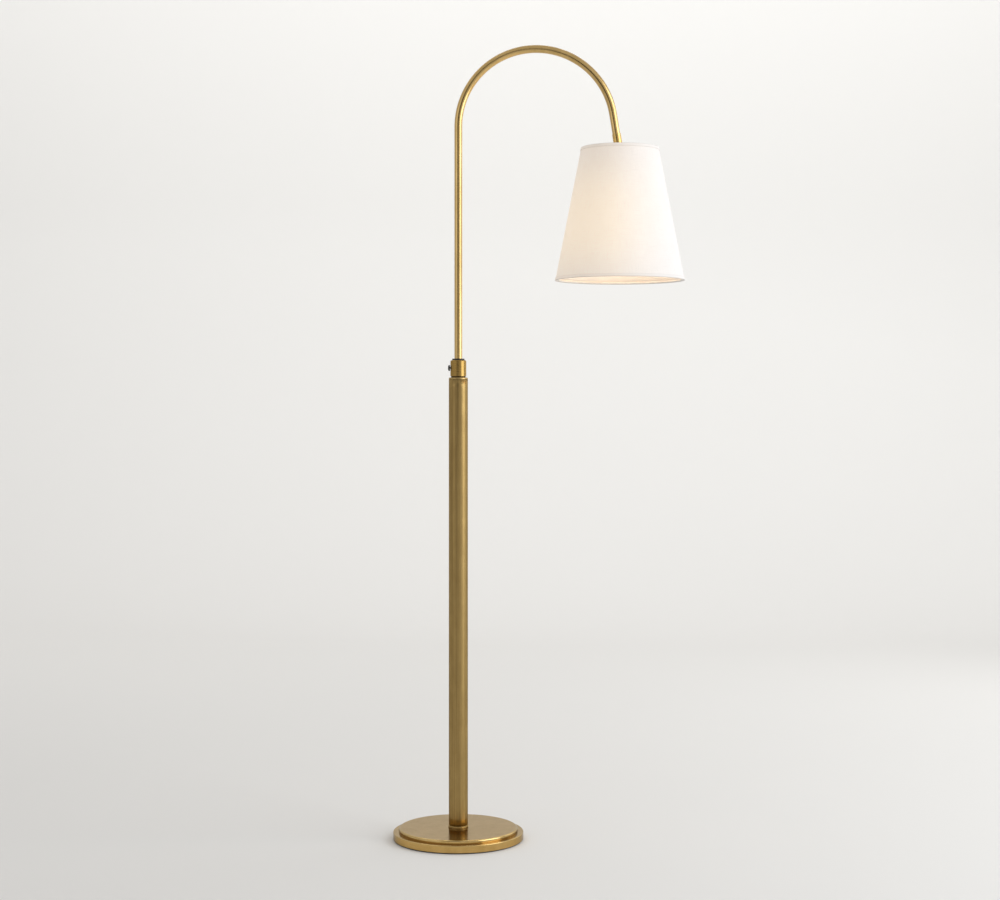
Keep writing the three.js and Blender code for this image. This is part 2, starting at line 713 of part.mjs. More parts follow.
function knuckleFork() {
  const reach = 2 * earRadius;
  const spigot = armBore - GAP;
  const shank = turned([
    [0, -earRadius], [earRadius, -earRadius], [earRadius, forkTop], [spigot, forkTop],
    [spigot, forkTop + FORK_SPIGOT], [0, forkTop + FORK_SPIGOT],
  ], COLUMN_SIDES);
  const roundEar = alongY(bar(earRadius, -reach, reach, COLUMN_SIDES));
  const upper = block([-reach, -reach, 0], [reach, reach, forkTop + 2 * FORK_SPIGOT]);
  const blank = overlapOf(shank, join(roundEar, upper));
  const slot = block([-reach, -slotHalf, -reach], [reach, slotHalf, forkSlotTop]);
  const flats = [-1, 1].map((side) => block(
    [-reach, Math.min(side * earFlat, side * reach), -reach],
    [reach, Math.max(side * earFlat, side * reach), forkSlotTop]));
  const pivotHole = alongY(bar(PIVOT_SCREW_RADIUS + GAP, -reach, reach, TINY_SIDES));
  const axialWay = bar(WIREWAY_RADIUS, forkWireHeight, forkTop + 2 * FORK_SPIGOT, TINY_SIDES);
  const sideWay = sideWireway().translate(0, 0, forkWireHeight);
  return cut(blank, slot, ...flats, pivotHole, axialWay, sideWay);
}

function pivotWasher(side) {
  const start = earFlat + GAP;
  const washer = ring(PIVOT_SCREW_RADIUS + GAP, PIVOT_WASHER_RADIUS, start, washerOutside, SMALL_SIDES);
  return side > 0 ? alongY(washer) : alongMinusY(washer);
}


// Screw with its head at the back and its nut at the front
function pivotScrew() {
  const headStart = washerOutside + GAP;
  const tail = -(washerOutside + GAP + PIVOT_NUT_THICKNESS + PIVOT_TAIL);
  return alongY(turned([
    [0, tail], [PIVOT_SCREW_RADIUS, tail], [PIVOT_SCREW_RADIUS, headStart], [PIVOT_HEAD_RADIUS, headStart],
    [PIVOT_HEAD_RADIUS, pivotHeadEnd - PIVOT_HEAD_ROUNDING],
    [PIVOT_HEAD_RADIUS - PIVOT_HEAD_ROUNDING, pivotHeadEnd],
    [0, pivotHeadEnd],
  ], TINY_SIDES));
}

function pivotNut() {
  const start = washerOutside + GAP;
  return alongMinusY(hexNut(PIVOT_NUT_FLATS, PIVOT_SCREW_RADIUS + GAP, start, start + PIVOT_NUT_THICKNESS));
}

// ---- Head, made about the pivot and hanging plumb ----

function frictionWasher(side) {
  const start = TONGUE_THICKNESS / 2 + GAP;
  const washer = ring(
    PIVOT_SCREW_RADIUS + GAP, FRICTION_WASHER_RADIUS, start, start + FRICTION_WASHER_THICKNESS, SMALL_SIDES);
  return side > 0 ? alongY(washer) : alongMinusY(washer);
}

function knuckleTongue() {
  const half = TONGUE_THICKNESS / 2;
  const stemBore = HEAD_STEM_RADIUS + GAP;
  const shank = bar(earRadius, tongueBottom, tongueShoulder, COLUMN_SIDES);
  const eye = alongY(bar(eyeRadius, -half, half, COLUMN_SIDES));
  const neck = block([-eyeRadius, -half, tongueShoulder - 1], [eyeRadius, half, 0]);
  const pivotHole = alongY(bar(PIVOT_SCREW_RADIUS + GAP, -2 * half, 2 * half, TINY_SIDES));
  const stemHole = bar(stemBore, tongueBottom - 1, tongueBottom + HEAD_STEM_GRIP + GAP, SMALL_SIDES);
  const axialWay = bar(WIREWAY_RADIUS, tongueBottom - 1, tongueWireHeight, TINY_SIDES);
  const sideWay = sideWireway().translate(0, 0, tongueWireHeight);
  return cut(join(shank, neck, eye), pivotHole, stemHole, axialWay, sideWay);
}

function headStem() {
  return ring(WIREWAY_RADIUS, HEAD_STEM_RADIUS, domeTop, tongueBottom + HEAD_STEM_GRIP, SMALL_SIDES);
}

function shadeLocknut() {
  return hexNut(LOCKNUT_FLATS, HEAD_STEM_RADIUS + GAP, locknutTop - LOCKNUT_THICKNESS, locknutTop);
}

function lampholderCap() {
  const inner = holderCapRadius - HOLDER_WALL;
  const bore = HEAD_STEM_RADIUS + GAP;
  const rise = holderCapRadius - holderNeckRadius;
  const outerDome = arc(holderNeckRadius, skirtTop, rise, 0, 90, 4)
    .map(([radius, height]) => [radius, skirtTop + (height - skirtTop) * HOLDER_DOME / rise]);
  const innerDome = outerDome
    .map(([radius, height]) => [radius - HOLDER_WALL, height - HOLDER_WALL])
    .reverse();
  return turned([
    [inner, skirtBottom],
    [holderCapRadius, skirtBottom],
    ...outerDome,
    [holderNeckRadius, holderTop],
    [bore, holderTop],
    [bore, innerDome[0][1]],
    ...innerDome,
    [inner, skirtBottom],
  ], SMALL_SIDES);
}

// A tube of the lampholder with a hole for the switch shaft
function holderSleeve(bore, radius, bottom, top) {
  const shaftHole = alongMinusY(bar(SHAFT_RADIUS + GAP, 0, 2 * holderCapRadius, TINY_SIDES));
  return cut(ring(bore, radius, bottom, top, SMALL_SIDES), shaftHole.translate(0, 0, keyHeight));
}

function lampholderShell() {
  return holderSleeve(shellRadius - SHELL_WALL, shellRadius, shellBottom, shellTop);
}

function lampholderPaper() {
  return holderSleeve(paperRadius - PAPER_WALL, paperRadius, shellBottom + 1, shellTop - 1);
}

function lampholderCore() {
  const shaftEnd = coreRadius - SHAFT_DEPTH - GAP;
  const shaftHole = alongMinusY(bar(SHAFT_RADIUS + GAP, shaftEnd, 2 * coreRadius, TINY_SIDES));
  const recess = coreRadius - TERMINAL_HEAD - 3 * GAP;
  const recesses = [-1, 1].map((side) => block(
    [Math.min(side * recess, side * 2 * coreRadius), -TERMINAL_HEAD_RADIUS - 1, coreBottom - 1],
    [Math.max(side * recess, side * 2 * coreRadius), TERMINAL_HEAD_RADIUS + 1, coreTop + 1]));
  const reach = recess - TERMINAL_DEPTH - GAP;
  const holes = [alongX, alongMinusX].map((lay) => lay(
    bar(TERMINAL_RADIUS + GAP, reach, 2 * coreRadius, TINY_SIDES)).translate(0, 0, keyHeight));
  const core = bar(coreRadius, coreBottom, coreTop, SMALL_SIDES);
  return cut(core, shaftHole.translate(0, 0, keyHeight), ...recesses, ...holes);
}

function terminalScrew(lay) {
  const face = coreRadius - TERMINAL_HEAD - 3 * GAP;
  const headStart = face + GAP;
  const screw = turned([
    [0, face - TERMINAL_DEPTH], [TERMINAL_RADIUS, face - TERMINAL_DEPTH], [TERMINAL_RADIUS, headStart],
    [TERMINAL_HEAD_RADIUS, headStart], [TERMINAL_HEAD_RADIUS, headStart + TERMINAL_HEAD],
    [0, headStart + TERMINAL_HEAD],
  ], TINY_SIDES);
  return lay(screw).translate(0, 0, keyHeight);
}

function screwShell() {
  return ring(coreRadius - SCREW_SHELL_WALL, coreRadius, shellBottom + 1, coreBottom - GAP, SMALL_SIDES);
}

function centreContact() {
  return bar(CONTACT_RADIUS, contactTop - CONTACT_THICKNESS, contactTop, TINY_SIDES);
}

function switchShaft() {
  const start = coreRadius - SHAFT_DEPTH;
  return alongMinusY(bar(SHAFT_RADIUS, start, start + SHAFT_LENGTH, TINY_SIDES)).translate(0, 0, keyHeight);
}

// Flat paddle with round ends, turned between finger and thumb
function switchKey() {
  const start = coreRadius - SHAFT_DEPTH + SHAFT_LENGTH + GAP;
  const reach = KEY_WIDTH / 2 - KEY_THICKNESS / 2;
  const outline = new THREE.Shape();
  outline.absarc(reach, 0, KEY_THICKNESS / 2, -Math.PI / 2, Math.PI / 2, false);
  outline.absarc(-reach, 0, KEY_THICKNESS / 2, Math.PI / 2, 3 * Math.PI / 2, false);
  const body = prism(outline, KEY_LENGTH, TINY_SIDES / 2).translate(0, 0, start);
  return alongMinusY(body).translate(0, 0, keyHeight);
}

// Rounded rings stand for the screw thread of the bulb's cap
function threadOutline(radius, bottom, top) {
  const turns = Math.floor((top - bottom) / THREAD_PITCH);
  return Array.from({ length: 2 * turns + 1 }, (_, i) => [
    i % 2 === 0 ? radius - THREAD_DEPTH : radius, bottom + i * (top - bottom) / (2 * turns)]);
}

function bulbCap() {
  const inner = BULB_CAP_RADIUS - THREAD_DEPTH - BULB_CAP_WALL;
  const tipRadius = CONTACT_RADIUS + GAP;
  return turned([
    [inner, bulbCapBottom],
    [BULB_CAP_RADIUS, bulbCapBottom],
    [BULB_CAP_RADIUS, bulbCapBottom + BULB_TIP],
    ...threadOutline(BULB_CAP_RADIUS, bulbCapBottom + BULB_TIP + 1, bulbCapTop - BULB_TIP),
    [tipRadius + 2, bulbCapTop],
    [tipRadius, bulbCapTop],
    [tipRadius, bulbCapTop - BULB_CAP_WALL],
    [inner, bulbCapTop - BULB_TIP - BULB_CAP_WALL],
    [inner, bulbCapBottom],
  ], SMALL_SIDES);
}

// Contact button of the bulb, in the hole at the cap's top
function bulbContact() {
  const bottom = bulbCapTop - BULB_CAP_WALL;
  return turned([
    [0, bottom], [CONTACT_RADIUS, bottom], [CONTACT_RADIUS, bulbCapTop],
    [CONTACT_RADIUS / 2, bulbTipTop], [0, bulbTipTop],
  ], TINY_SIDES);
}

function bulbGlass() {
  const top = bulbCapBottom - GAP;
  const centre = top - BULB_LENGTH + BULB_RADIUS;
  const globe = (inset) => arc(0, centre, BULB_RADIUS - inset, -90, 35, 8);
  const outside = globe(0);
  const inside = globe(BULB_WALL).reverse();
  outside[0][0] = 0;
  inside.at(-1)[0] = 0;
  return turned([
    ...outside,
    [bulbNeckRadius, centre + BULB_RADIUS * 1.1],
    [bulbNeckRadius, top],
    [bulbNeckRadius - BULB_WALL, top],
    [bulbNeckRadius - BULB_WALL, centre + BULB_RADIUS * 1.1],
    ...inside,
  ], SMALL_SIDES);
}

// ---- Shade ----

// The shade's outside at a height, moved inwards by inset
function shadeRadius(height, inset) {
  return SHADE_TOP_RADIUS + (SHADE_RISE - height) * shadeSlope - inset;
}

// A tapered wall between two heights and two insets
function shadeWall(bottom, top, outer, inner) {
  return turned([
    [shadeRadius(bottom, inner), bottom],
    [shadeRadius(bottom, outer), bottom],
    [shadeRadius(top, outer), top],
    [shadeRadius(top, inner), top],
    [shadeRadius(bottom, inner), bottom],
  ], SHADE_SIDES);
}

const rimGap = HEM_THICKNESS + GAP;

function shadeFabric() {
  return shadeWall(shadeBottom + rimGap, SHADE_RISE - rimGap, fabricInset, fabricInset + FABRIC_THICKNESS);
}

function shadeLiner() {
  return shadeWall(shadeBottom + rimGap, SHADE_RISE - rimGap, linerInset, linerInset + LINER_THICKNESS);
}

// Tape folded over a rim; inwards is +1 at the bottom rim and -1 at the top one
function shadeHem(rim, inwards) {
  const floor = rim + inwards * HEM_THICKNESS;
  const edge = rim + inwards * HEM_DEPTH;
  const outer = innerHemInset + HEM_THICKNESS;
  const profile = [
    [shadeRadius(rim, outer), rim],
    [shadeRadius(rim, 0), rim],
    [shadeRadius(edge, 0), edge],
    [shadeRadius(edge, HEM_THICKNESS), edge],
    [shadeRadius(floor, HEM_THICKNESS), floor],
    [shadeRadius(floor, innerHemInset), floor],
    [shadeRadius(edge, innerHemInset), edge],
    [shadeRadius(edge, outer), edge],
    [shadeRadius(rim, outer), rim],
  ];
  return turned(inwards > 0 ? profile : profile.reverse(), SHADE_SIDES);
}

function wireRing(height) {
  const radius = shadeRadius(height, wireInset);
  return new THREE.TorusGeometry(radius, WIRE_RADIUS, WIRE_SIDES, SHADE_SIDES).translate(0, 0, height);
}

// Hub, bent arms and top ring, welded into one piece
function shadeSpider() {
  const ringHeight = SHADE_RISE - wireFromRim;
  const ringRadius = shadeRadius(ringHeight, wireInset);
  const hubMiddle = hubTop - HUB_THICKNESS / 2;
  const hub = ring(HEAD_STEM_RADIUS + GAP, hubRadius, hubTop - HUB_THICKNESS, hubTop, SMALL_SIDES);
  const arms = Array.from({ length: SPIDER_ARMS }, (_, i) => {
    const path = new SteppedPath([
      { curve: new THREE.LineCurve3(
        new THREE.Vector3(hubRadius - WIRE_RADIUS, 0, hubMiddle),
        new THREE.Vector3(hubRadius + 2 * WIRE_RADIUS, 0, hubMiddle)), steps: 1 },
      { curve: new THREE.QuadraticBezierCurve3(
        new THREE.Vector3(hubRadius + 2 * WIRE_RADIUS, 0, hubMiddle),
        new THREE.Vector3(hubRadius + 6 * WIRE_RADIUS, 0, hubMiddle),
        new THREE.Vector3(ringRadius, 0, ringHeight)), steps: 5 },
    ]);
    const turn = 2 * Math.PI * i / SPIDER_ARMS + Math.PI / 2;
    return swept(circle(SPIDER_ARM_RADIUS, WIRE_SIDES), path).rotateZ(turn);
  });
  return join(wireRing(ringHeight), hub, ...arms);
}

function shadeBottomRing() {
  return wireRing(shadeBottom + wireFromRim);
}

// ---- Leads ----

const baseLeadTop = columnFootTop + SPIGOT_LENGTH + LEAD_STUB;

function baseLead() {
  const low = coverBottom + LEAD_RADIUS + GAP;
  return lead([
    [0, BASE_RADIUS + GAP, GLAND_HEIGHT],
    [0, BASE_RADIUS - GLAND_LENGTH - LEAD_DIP, GLAND_HEIGHT],
    [0, BASE_RADIUS - GLAND_LENGTH - 4 * LEAD_DIP, low],
    [0, 0, low],
    [0, 0, baseLeadTop],
  ]);
}

// Slack lead in the column, in gentle waves that close up as the arm goes down
function columnLead() {
  const bottom = baseLeadTop + GAP;
  const length = armBottom - GAP - bottom;
  class WaveCurve extends THREE.Curve {
    getPoint(t) {
      const phase = 2 * Math.PI * LEAD_WAVES * t;
      const swell = LEAD_SLACK * Math.sin(Math.PI * t);
      return new THREE.Vector3(swell * Math.sin(phase), swell * Math.cos(phase), bottom + length * t);
    }
  }
  return swept(circle(LEAD_RADIUS, LEAD_SIDES), new SteppedPath([{ curve: new WaveCurve(), steps: 32 }]));
}

// Lead along the arm's middle, out through the side of the fork
function armLead() {
  const hole = bendEnd.clone().addScaledVector(endDirection, PIVOT_REACH - forkWireHeight);
  const mouth = new THREE.Vector3(hole.x, earRadius, hole.z);
  const enter = hole.clone().addScaledVector(endDirection, -LEAD_BEND);
  const leave = new THREE.Vector3(hole.x, LEAD_BEND, hole.z);
  const along = armPath(armBottom, PIVOT_REACH - forkWireHeight - LEAD_BEND, 20);
  return swept(circle(LEAD_RADIUS, LEAD_SIDES), new SteppedPath([
    ...along.stretches,
    { curve: new THREE.QuadraticBezierCurve3(enter, hole, leave), steps: 4 },
    { curve: new THREE.LineCurve3(leave, mouth), steps: 1 },
  ]));
}

// Loop past the knuckle, then down its wireway and the stem to the lampholder's core
function headLead() {
  const mouth = endDirection.clone().multiplyScalar(-forkWireHeight);
  return lead([
    [mouth.x, earRadius + GAP, mouth.z],
    [mouth.x, knuckleLoop, mouth.z],
    [0, knuckleLoop, tongueWireHeight],
    [0, 0, tongueWireHeight],
    [0, 0, coreTop + GAP],
  ]);
}

// ---- Assembly ----

const lamp = new THREE.Group();

function place(parent, pieces) {
  for (const [name, geometry, look] of pieces) {
    const mesh = new THREE.Mesh(geometry, look);
    mesh.name = name;
    parent.add(mesh);
  }
}

place(lamp, [
  ['base_pad', basePad(), blackFelt],
  ['base_weight', baseWeight(), castIron],
  ['base_cover', baseCover(), antiqueBrass],
  ['cord_gland', cordGland(), blackNylon],
  ['base_stem', baseStem(), zincSteel],
  ['stem_washer', stemWasher(), zincSteel],
  ['stem_spring_washer', springWasher(), zincSteel],
  ['stem_nut', stemNut(), zincSteel],
  ['column_foot', columnFoot(), antiqueBrass],
  ['column_tube', columnTube(), antiqueBrass],
  ['column_cap', columnCap(), antiqueBrass],
  ['clamp_collar', clampCollar(), antiqueBrass],
  ['clamp_sleeve', clampSleeve(), blackNylon],
  ['sleeve_clip', sleeveClip(), zincSteel],
  ['clamp_pad', clampPad(), rawBrass],
  ['thumb_screw', thumbScrew(), rawBrass],
  ['thumb_knob', thumbKnob(), blackEnamel],
  ['arm_tube', armTube(), satinBrass],
  ['arm_glide', armGlide(), blackNylon],
  ['base_lead', baseLead(), leadVinyl],
  ['column_lead', columnLead(), leadVinyl],
  ['arm_lead', armLead(), leadVinyl],
]);

const armEnd = new THREE.Group();
armEnd.position.copy(pivot);
armEnd.rotation.y = -endTilt;
lamp.add(armEnd);
place(armEnd, [
  ['arm_ferrule', armFerrule(), satinBrass],
  ['knuckle_fork', knuckleFork(), satinBrass],
  ['pivot_screw', pivotScrew(), rawBrass],
  ['pivot_washer_back', pivotWasher(1), rawBrass],
  ['pivot_washer_front', pivotWasher(-1), rawBrass],
  ['pivot_nut', pivotNut(), rawBrass],
]);

const head = new THREE.Group();
head.position.copy(pivot);
lamp.add(head);
place(head, [
  ['knuckle_tongue', knuckleTongue(), satinBrass],
  ['friction_washer_back', frictionWasher(1), fibre],
  ['friction_washer_front', frictionWasher(-1), fibre],
  ['head_stem', headStem(), zincSteel],
  ['shade_spider', shadeSpider(), whiteEnamel],
  ['shade_locknut', shadeLocknut(), rawBrass],
  ['lampholder_cap', lampholderCap(), rawBrass],
  ['lampholder_shell', lampholderShell(), rawBrass],
  ['lampholder_paper', lampholderPaper(), fibre],
  ['lampholder_core', lampholderCore(), blackNylon],
  ['terminal_screw_right', terminalScrew(alongX), rawBrass],
  ['terminal_screw_left', terminalScrew(alongMinusX), zincSteel],
  ['screw_shell', screwShell(), rawBrass],
  ['centre_contact', centreContact(), rawBrass],
  ['switch_shaft', switchShaft(), rawBrass],
  ['switch_key', switchKey(), blackEnamel],
  ['bulb_cap', bulbCap(), zincSteel],
  ['bulb_contact', bulbContact(), zincSteel],
  ['bulb_glass', bulbGlass(), opalGlass],
  ['shade_liner', shadeLiner(), whiteStyrene],
  ['shade_fabric', shadeFabric(), whiteLinen],
  ['shade_top_hem', shadeHem(SHADE_RISE, -1), whiteLinen],
  ['shade_bottom_hem', shadeHem(shadeBottom, 1), whiteLinen],
  ['shade_bottom_ring', shadeBottomRing(), whiteEnamel],
  ['head_lead', headLead(), leadVinyl],
]);

export default lamp;
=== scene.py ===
# %% [markdown]
# # An arc floor lamp in brass and linen
# The CAD model of the lamp is loaded first, as a fixed frame. It says where every piece is
# and which body it moves with. The visible pieces are then made again as smooth surfaces,
# given their finishes, and hung on the same bodies, so the lamp still turns, slides and
# tilts at its joints. Everything is in metres, with Z up and the floor at zero.

# %% Load the frame
import json
import math

import bmesh
import bpy
import numpy as np
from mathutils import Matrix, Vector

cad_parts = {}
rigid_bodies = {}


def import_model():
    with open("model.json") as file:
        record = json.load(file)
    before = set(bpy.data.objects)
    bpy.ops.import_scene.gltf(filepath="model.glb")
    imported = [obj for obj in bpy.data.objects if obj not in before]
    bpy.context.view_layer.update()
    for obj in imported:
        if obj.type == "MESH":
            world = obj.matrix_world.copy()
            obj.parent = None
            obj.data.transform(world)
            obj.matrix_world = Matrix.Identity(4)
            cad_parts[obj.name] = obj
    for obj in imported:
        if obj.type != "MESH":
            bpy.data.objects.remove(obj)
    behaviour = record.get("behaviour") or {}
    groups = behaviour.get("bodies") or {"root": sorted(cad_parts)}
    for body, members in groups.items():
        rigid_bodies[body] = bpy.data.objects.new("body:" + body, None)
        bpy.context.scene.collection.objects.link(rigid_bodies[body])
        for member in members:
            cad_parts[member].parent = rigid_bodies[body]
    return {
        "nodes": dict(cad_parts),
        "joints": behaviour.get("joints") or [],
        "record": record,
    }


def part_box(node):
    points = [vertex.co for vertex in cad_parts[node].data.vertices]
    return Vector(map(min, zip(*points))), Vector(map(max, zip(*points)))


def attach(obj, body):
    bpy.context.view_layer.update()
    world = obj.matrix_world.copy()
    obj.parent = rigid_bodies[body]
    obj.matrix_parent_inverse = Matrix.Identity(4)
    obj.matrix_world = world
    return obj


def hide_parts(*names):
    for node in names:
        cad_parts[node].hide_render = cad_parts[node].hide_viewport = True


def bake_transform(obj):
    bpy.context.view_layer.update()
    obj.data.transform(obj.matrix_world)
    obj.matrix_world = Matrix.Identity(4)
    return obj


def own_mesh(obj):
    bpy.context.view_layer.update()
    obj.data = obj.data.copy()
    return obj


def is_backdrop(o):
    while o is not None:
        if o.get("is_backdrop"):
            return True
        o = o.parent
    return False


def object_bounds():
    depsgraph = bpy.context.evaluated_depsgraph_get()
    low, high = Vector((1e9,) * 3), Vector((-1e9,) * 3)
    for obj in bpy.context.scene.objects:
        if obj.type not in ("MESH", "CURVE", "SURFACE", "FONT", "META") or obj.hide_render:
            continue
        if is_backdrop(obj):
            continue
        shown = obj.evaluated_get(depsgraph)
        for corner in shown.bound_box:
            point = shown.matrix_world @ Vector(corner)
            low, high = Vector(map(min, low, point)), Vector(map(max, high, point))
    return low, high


for leftover in list(bpy.data.objects):
    bpy.data.objects.remove(leftover)

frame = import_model()
cad_box = [list(corner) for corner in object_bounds()]
MM = 0.001

# %% [markdown]
# ## The view
# A tall lamp is best seen from well back through a long lens, so that its sides stay
# upright. The camera stands level, a little above half the lamp's height and slightly to the
# right of the column. It could be tilted to bring the whole lamp into the frame, but then the
# column would lean, so a small shift of the lens does it instead.

# %% Camera
CAMERA_DISTANCE = 3.72
CAMERA_SIDE = 0.0833
CAMERA_HEIGHT = 0.8716
FRAME_MIDDLE = 0.7776  # height at the middle of the view, in the column's plane
SENSOR = 36.0
FRAME_WIDTH = 2.0  # metres across the view, in the column's plane

camera_data = bpy.data.cameras.new("camera")
camera_data.sensor_width = SENSOR
camera_data.lens = SENSOR * CAMERA_DISTANCE / FRAME_WIDTH
camera_data.shift_y = (FRAME_MIDDLE - CAMERA_HEIGHT) / FRAME_WIDTH
camera = bpy.data.objects.new("camera", camera_data)
camera.location = (CAMERA_SIDE, -CAMERA_DISTANCE, CAMERA_HEIGHT)
camera.rotation_euler = (math.pi / 2, 0, 0)
bpy.context.scene.collection.objects.link(camera)
bpy.context.scene.camera = camera
bpy.context.scene.view_settings.view_transform = "Standard"
print("lens", round(camera_data.lens, 1), "shift", round(camera_data.shift_y, 4))

# %% [markdown]
# ## Surfaces from arrays
# Nearly every piece of this lamp is turned on a lathe or drawn as a tube. Blender's Screw
# modifier or a bevelled curve would make them too, but arrays give exact sizes and let each
# point carry its finish. Both kinds are rows of points, each row a ring, joined to the next.
# `surface` turns such a grid into a closed mesh, and a row shrunk to one point is a pole.
# Each piece also carries two attributes for its finish: `grain`, a place measured round and
# along the surface, and a mark that is 1 on rounded edges. On metal it is where handling
# brightens the edge; on the cloth's hems it is where painted shade darkens the fold.

# %% Grid to mesh
SHRUNK = 1e-9  # a row narrower than this is one point


def surface(name, rows, grain=None, wear=None, wrap=False, around=True):
    """A mesh over rows of points, array (rows, columns, 3).
    Face (i, j) joins rows i and i + 1 between columns j and j + 1.
    wrap joins the last row to the first; around joins the last column to the first."""
    count, columns = rows.shape[:2]
    shrunk = np.ptp(rows, axis=1).max(axis=1) < SHRUNK
    first = np.concatenate(([0], np.cumsum(np.where(shrunk, 1, columns))[:-1]))
    index = first[:, None] + np.where(shrunk[:, None], 0, np.arange(columns)[None])
    kept = ~shrunk[:, None] | (np.arange(columns)[None] == 0)
    low = index if wrap else index[:-1]
    high = np.roll(index, -1, axis=0) if wrap else index[1:]
    low_pole = shrunk if wrap else shrunk[:-1]
    high_pole = np.roll(shrunk, -1) if wrap else shrunk[1:]
    corners = [low, np.roll(low, -1, 1), np.roll(high, -1, 1), high]
    if not around:
        corners = [c[:, :-1] for c in corners]
    a, b, c, d = corners
    plain = ~low_pole & ~high_pole
    faces = np.stack((a, b, c, d), -1)[plain].reshape(-1, 4).tolist()
    faces += np.stack((a, c, d), -1)[low_pole].reshape(-1, 3).tolist()
    faces += np.stack((a, b, d), -1)[high_pole & ~low_pole].reshape(-1, 3).tolist()
    if not around:
        faces += [index[:, 0].tolist(), index[::-1, -1].tolist()]
    mesh = bpy.data.meshes.new(name)
    mesh.from_pydata(rows[kept], [], faces)
    store(mesh, "grain", (rows if grain is None else grain)[kept])
    store(mesh, "wear", np.broadcast_to(0.0 if wear is None else wear[:, None], kept.shape)[kept])
    return finished(name, mesh)


def store(mesh, name, values):
    """Keeps one number or one vector per point, as an attribute for the finish to read."""
    kind = "FLOAT_VECTOR" if values.ndim == 2 else "FLOAT"
    attribute = mesh.attributes.new(name, kind, "POINT")
    key = "vector" if values.ndim == 2 else "value"
    attribute.data.foreach_set(key, np.ascontiguousarray(values, np.float32).ravel())


def volume_of(mesh):
    """Signed volume: the sum over triangles of a . (b x c) / 6. It is negative when inside out."""
    mesh.calc_loop_triangles()
    corners = np.empty(len(mesh.loop_triangles) * 3, np.int32)
    mesh.loop_triangles.foreach_get("vertices", corners)
    points = np.empty(len(mesh.vertices) * 3)
    mesh.vertices.foreach_get("co", points)
    a, b, c = points.reshape(-1, 3)[corners].reshape(-1, 3, 3).transpose(1, 0, 2)
    return float((a * np.cross(b, c)).sum() / 6)


def finished(name, mesh):
    """An object at the origin for the mesh, its faces turned outwards and shaded smooth."""
    mesh.validate()
    if volume_of(mesh) < 0:
        mesh.flip_normals()
    mesh.polygons.foreach_set("use_smooth", np.ones(len(mesh.polygons), bool))
    mesh.update()
    piece = bpy.data.objects.new(name, mesh)
    bpy.context.scene.collection.objects.link(piece)
    return piece


# %% [markdown]
# ## Outlines with rounded corners
# Turned brass never has a perfectly sharp corner. An outline is a list of corners, each
# with its radius, and `rounded` puts an arc in each. Short straight steps beside each arc
# keep the flat faces flat when the whole surface is shaded smooth.

# %% Rounded outlines
ARC_STEPS = 6
HOLD = 0.12  # share of a corner's reach kept straight beside its arc


def rounded(corners, closed=True):
    """Outline through corners (radius, height, rounding), in metres.
    With half the corner's angle phi, the arc starts rounding / tan(phi) before the corner,
    and its centre lies rounding / sin(phi) along the line that halves the corner.
    Returns the points, and for each 1 on an arc and 0 elsewhere."""
    points, worn = [], []
    count = len(corners)
    for i, (r, h, rounding) in enumerate(corners):
        here = np.array((r, h), float)
        end = not closed and i in (0, count - 1)
        if rounding <= 0 or end:
            points.append(here[None])
            worn.append(np.zeros(1))
            continue
        before = np.array(corners[i - 1][:2], float) - here
        after = np.array(corners[(i + 1) % count][:2], float) - here
        a, b = before / np.linalg.norm(before), after / np.linalg.norm(after)
        phi = math.acos(float(np.clip(a @ b, -1, 1))) / 2
        reach = rounding / math.tan(phi)
        middle = here + (a + b) / np.linalg.norm(a + b) * rounding / math.sin(phi)
        start, stop = here + a * reach - middle, here + b * reach - middle
        turn = math.atan2(start[0] * stop[1] - start[1] * stop[0], start @ stop)
        angles = math.atan2(start[1], start[0]) + np.linspace(0, turn, ARC_STEPS + 1)
        arc = middle + rounding * np.stack((np.cos(angles), np.sin(angles)), -1)
        hold = [here + side * reach * (1 + HOLD) for side in (a, b)]
        points.append(np.vstack((hold[0], arc, hold[1])))
        worn.append(np.concatenate(([0], np.ones(len(arc)), [0])))
    return np.vstack(points), np.concatenate(worn)


def path_length(points):
    """Distance gone along a line of points, at each of them."""
    steps = np.linalg.norm(np.diff(points, axis=0), axis=1)
    return np.concatenate(([0], np.cumsum(steps)))


# %% [markdown]
# ## Turned pieces
# A lathe carries one outline round an axis. The function does the same with an array of
# angles, so a piece with any number of sides costs one line. The axes let a piece lie on its
# side, as the knob does, and a slit leaves the turn open, as in the split sleeve.

# %% Turned pieces
UPRIGHT = np.eye(3)


def turned(name, corners, centre=(0, 0), closed=True, sides=128, axes=UPRIGHT,
           origin=(0, 0, 0), slit=0.0):
    """A piece turned on a lathe: point (r, h) of the outline goes to (r cos t, r sin t, h).
    axes are the directions that the piece's own X, Y and Z point in, and origin is its zero.
    slit is the angle left open, about +Y."""
    outline, worn = rounded(corners, closed)
    if slit:
        t = np.linspace(math.pi / 2 + slit / 2, 2.5 * math.pi - slit / 2, sides)
    else:
        t = math.pi / 2 + np.linspace(0, 2 * math.pi, sides, endpoint=False)
    r, h = outline[:, :1], outline[:, 1:]
    local = np.stack(np.broadcast_arrays(r * np.cos(t), r * np.sin(t), h), -1)
    along = np.broadcast_to(path_length(outline)[:, None], local.shape[:2])
    grain = np.stack((local[..., 0], local[..., 1], along), -1)
    place = np.array((centre[0], centre[1], 0)) + np.array(origin)
    return surface(name, local @ np.array(axes) + place, grain, worn, wrap=closed, around=not slit)


# %% [markdown]
# ## Drawn tubes
# The column, the arm, the wires and the leads are all a circle carried along a path. A curve
# object with a bevel would do, but its ends are open or flat and it has no wall. Here the
# circle's own directions are worked out at each point, the ends are closed, and a wall turns
# the surface back inside, so the tube is hollow like the real one.

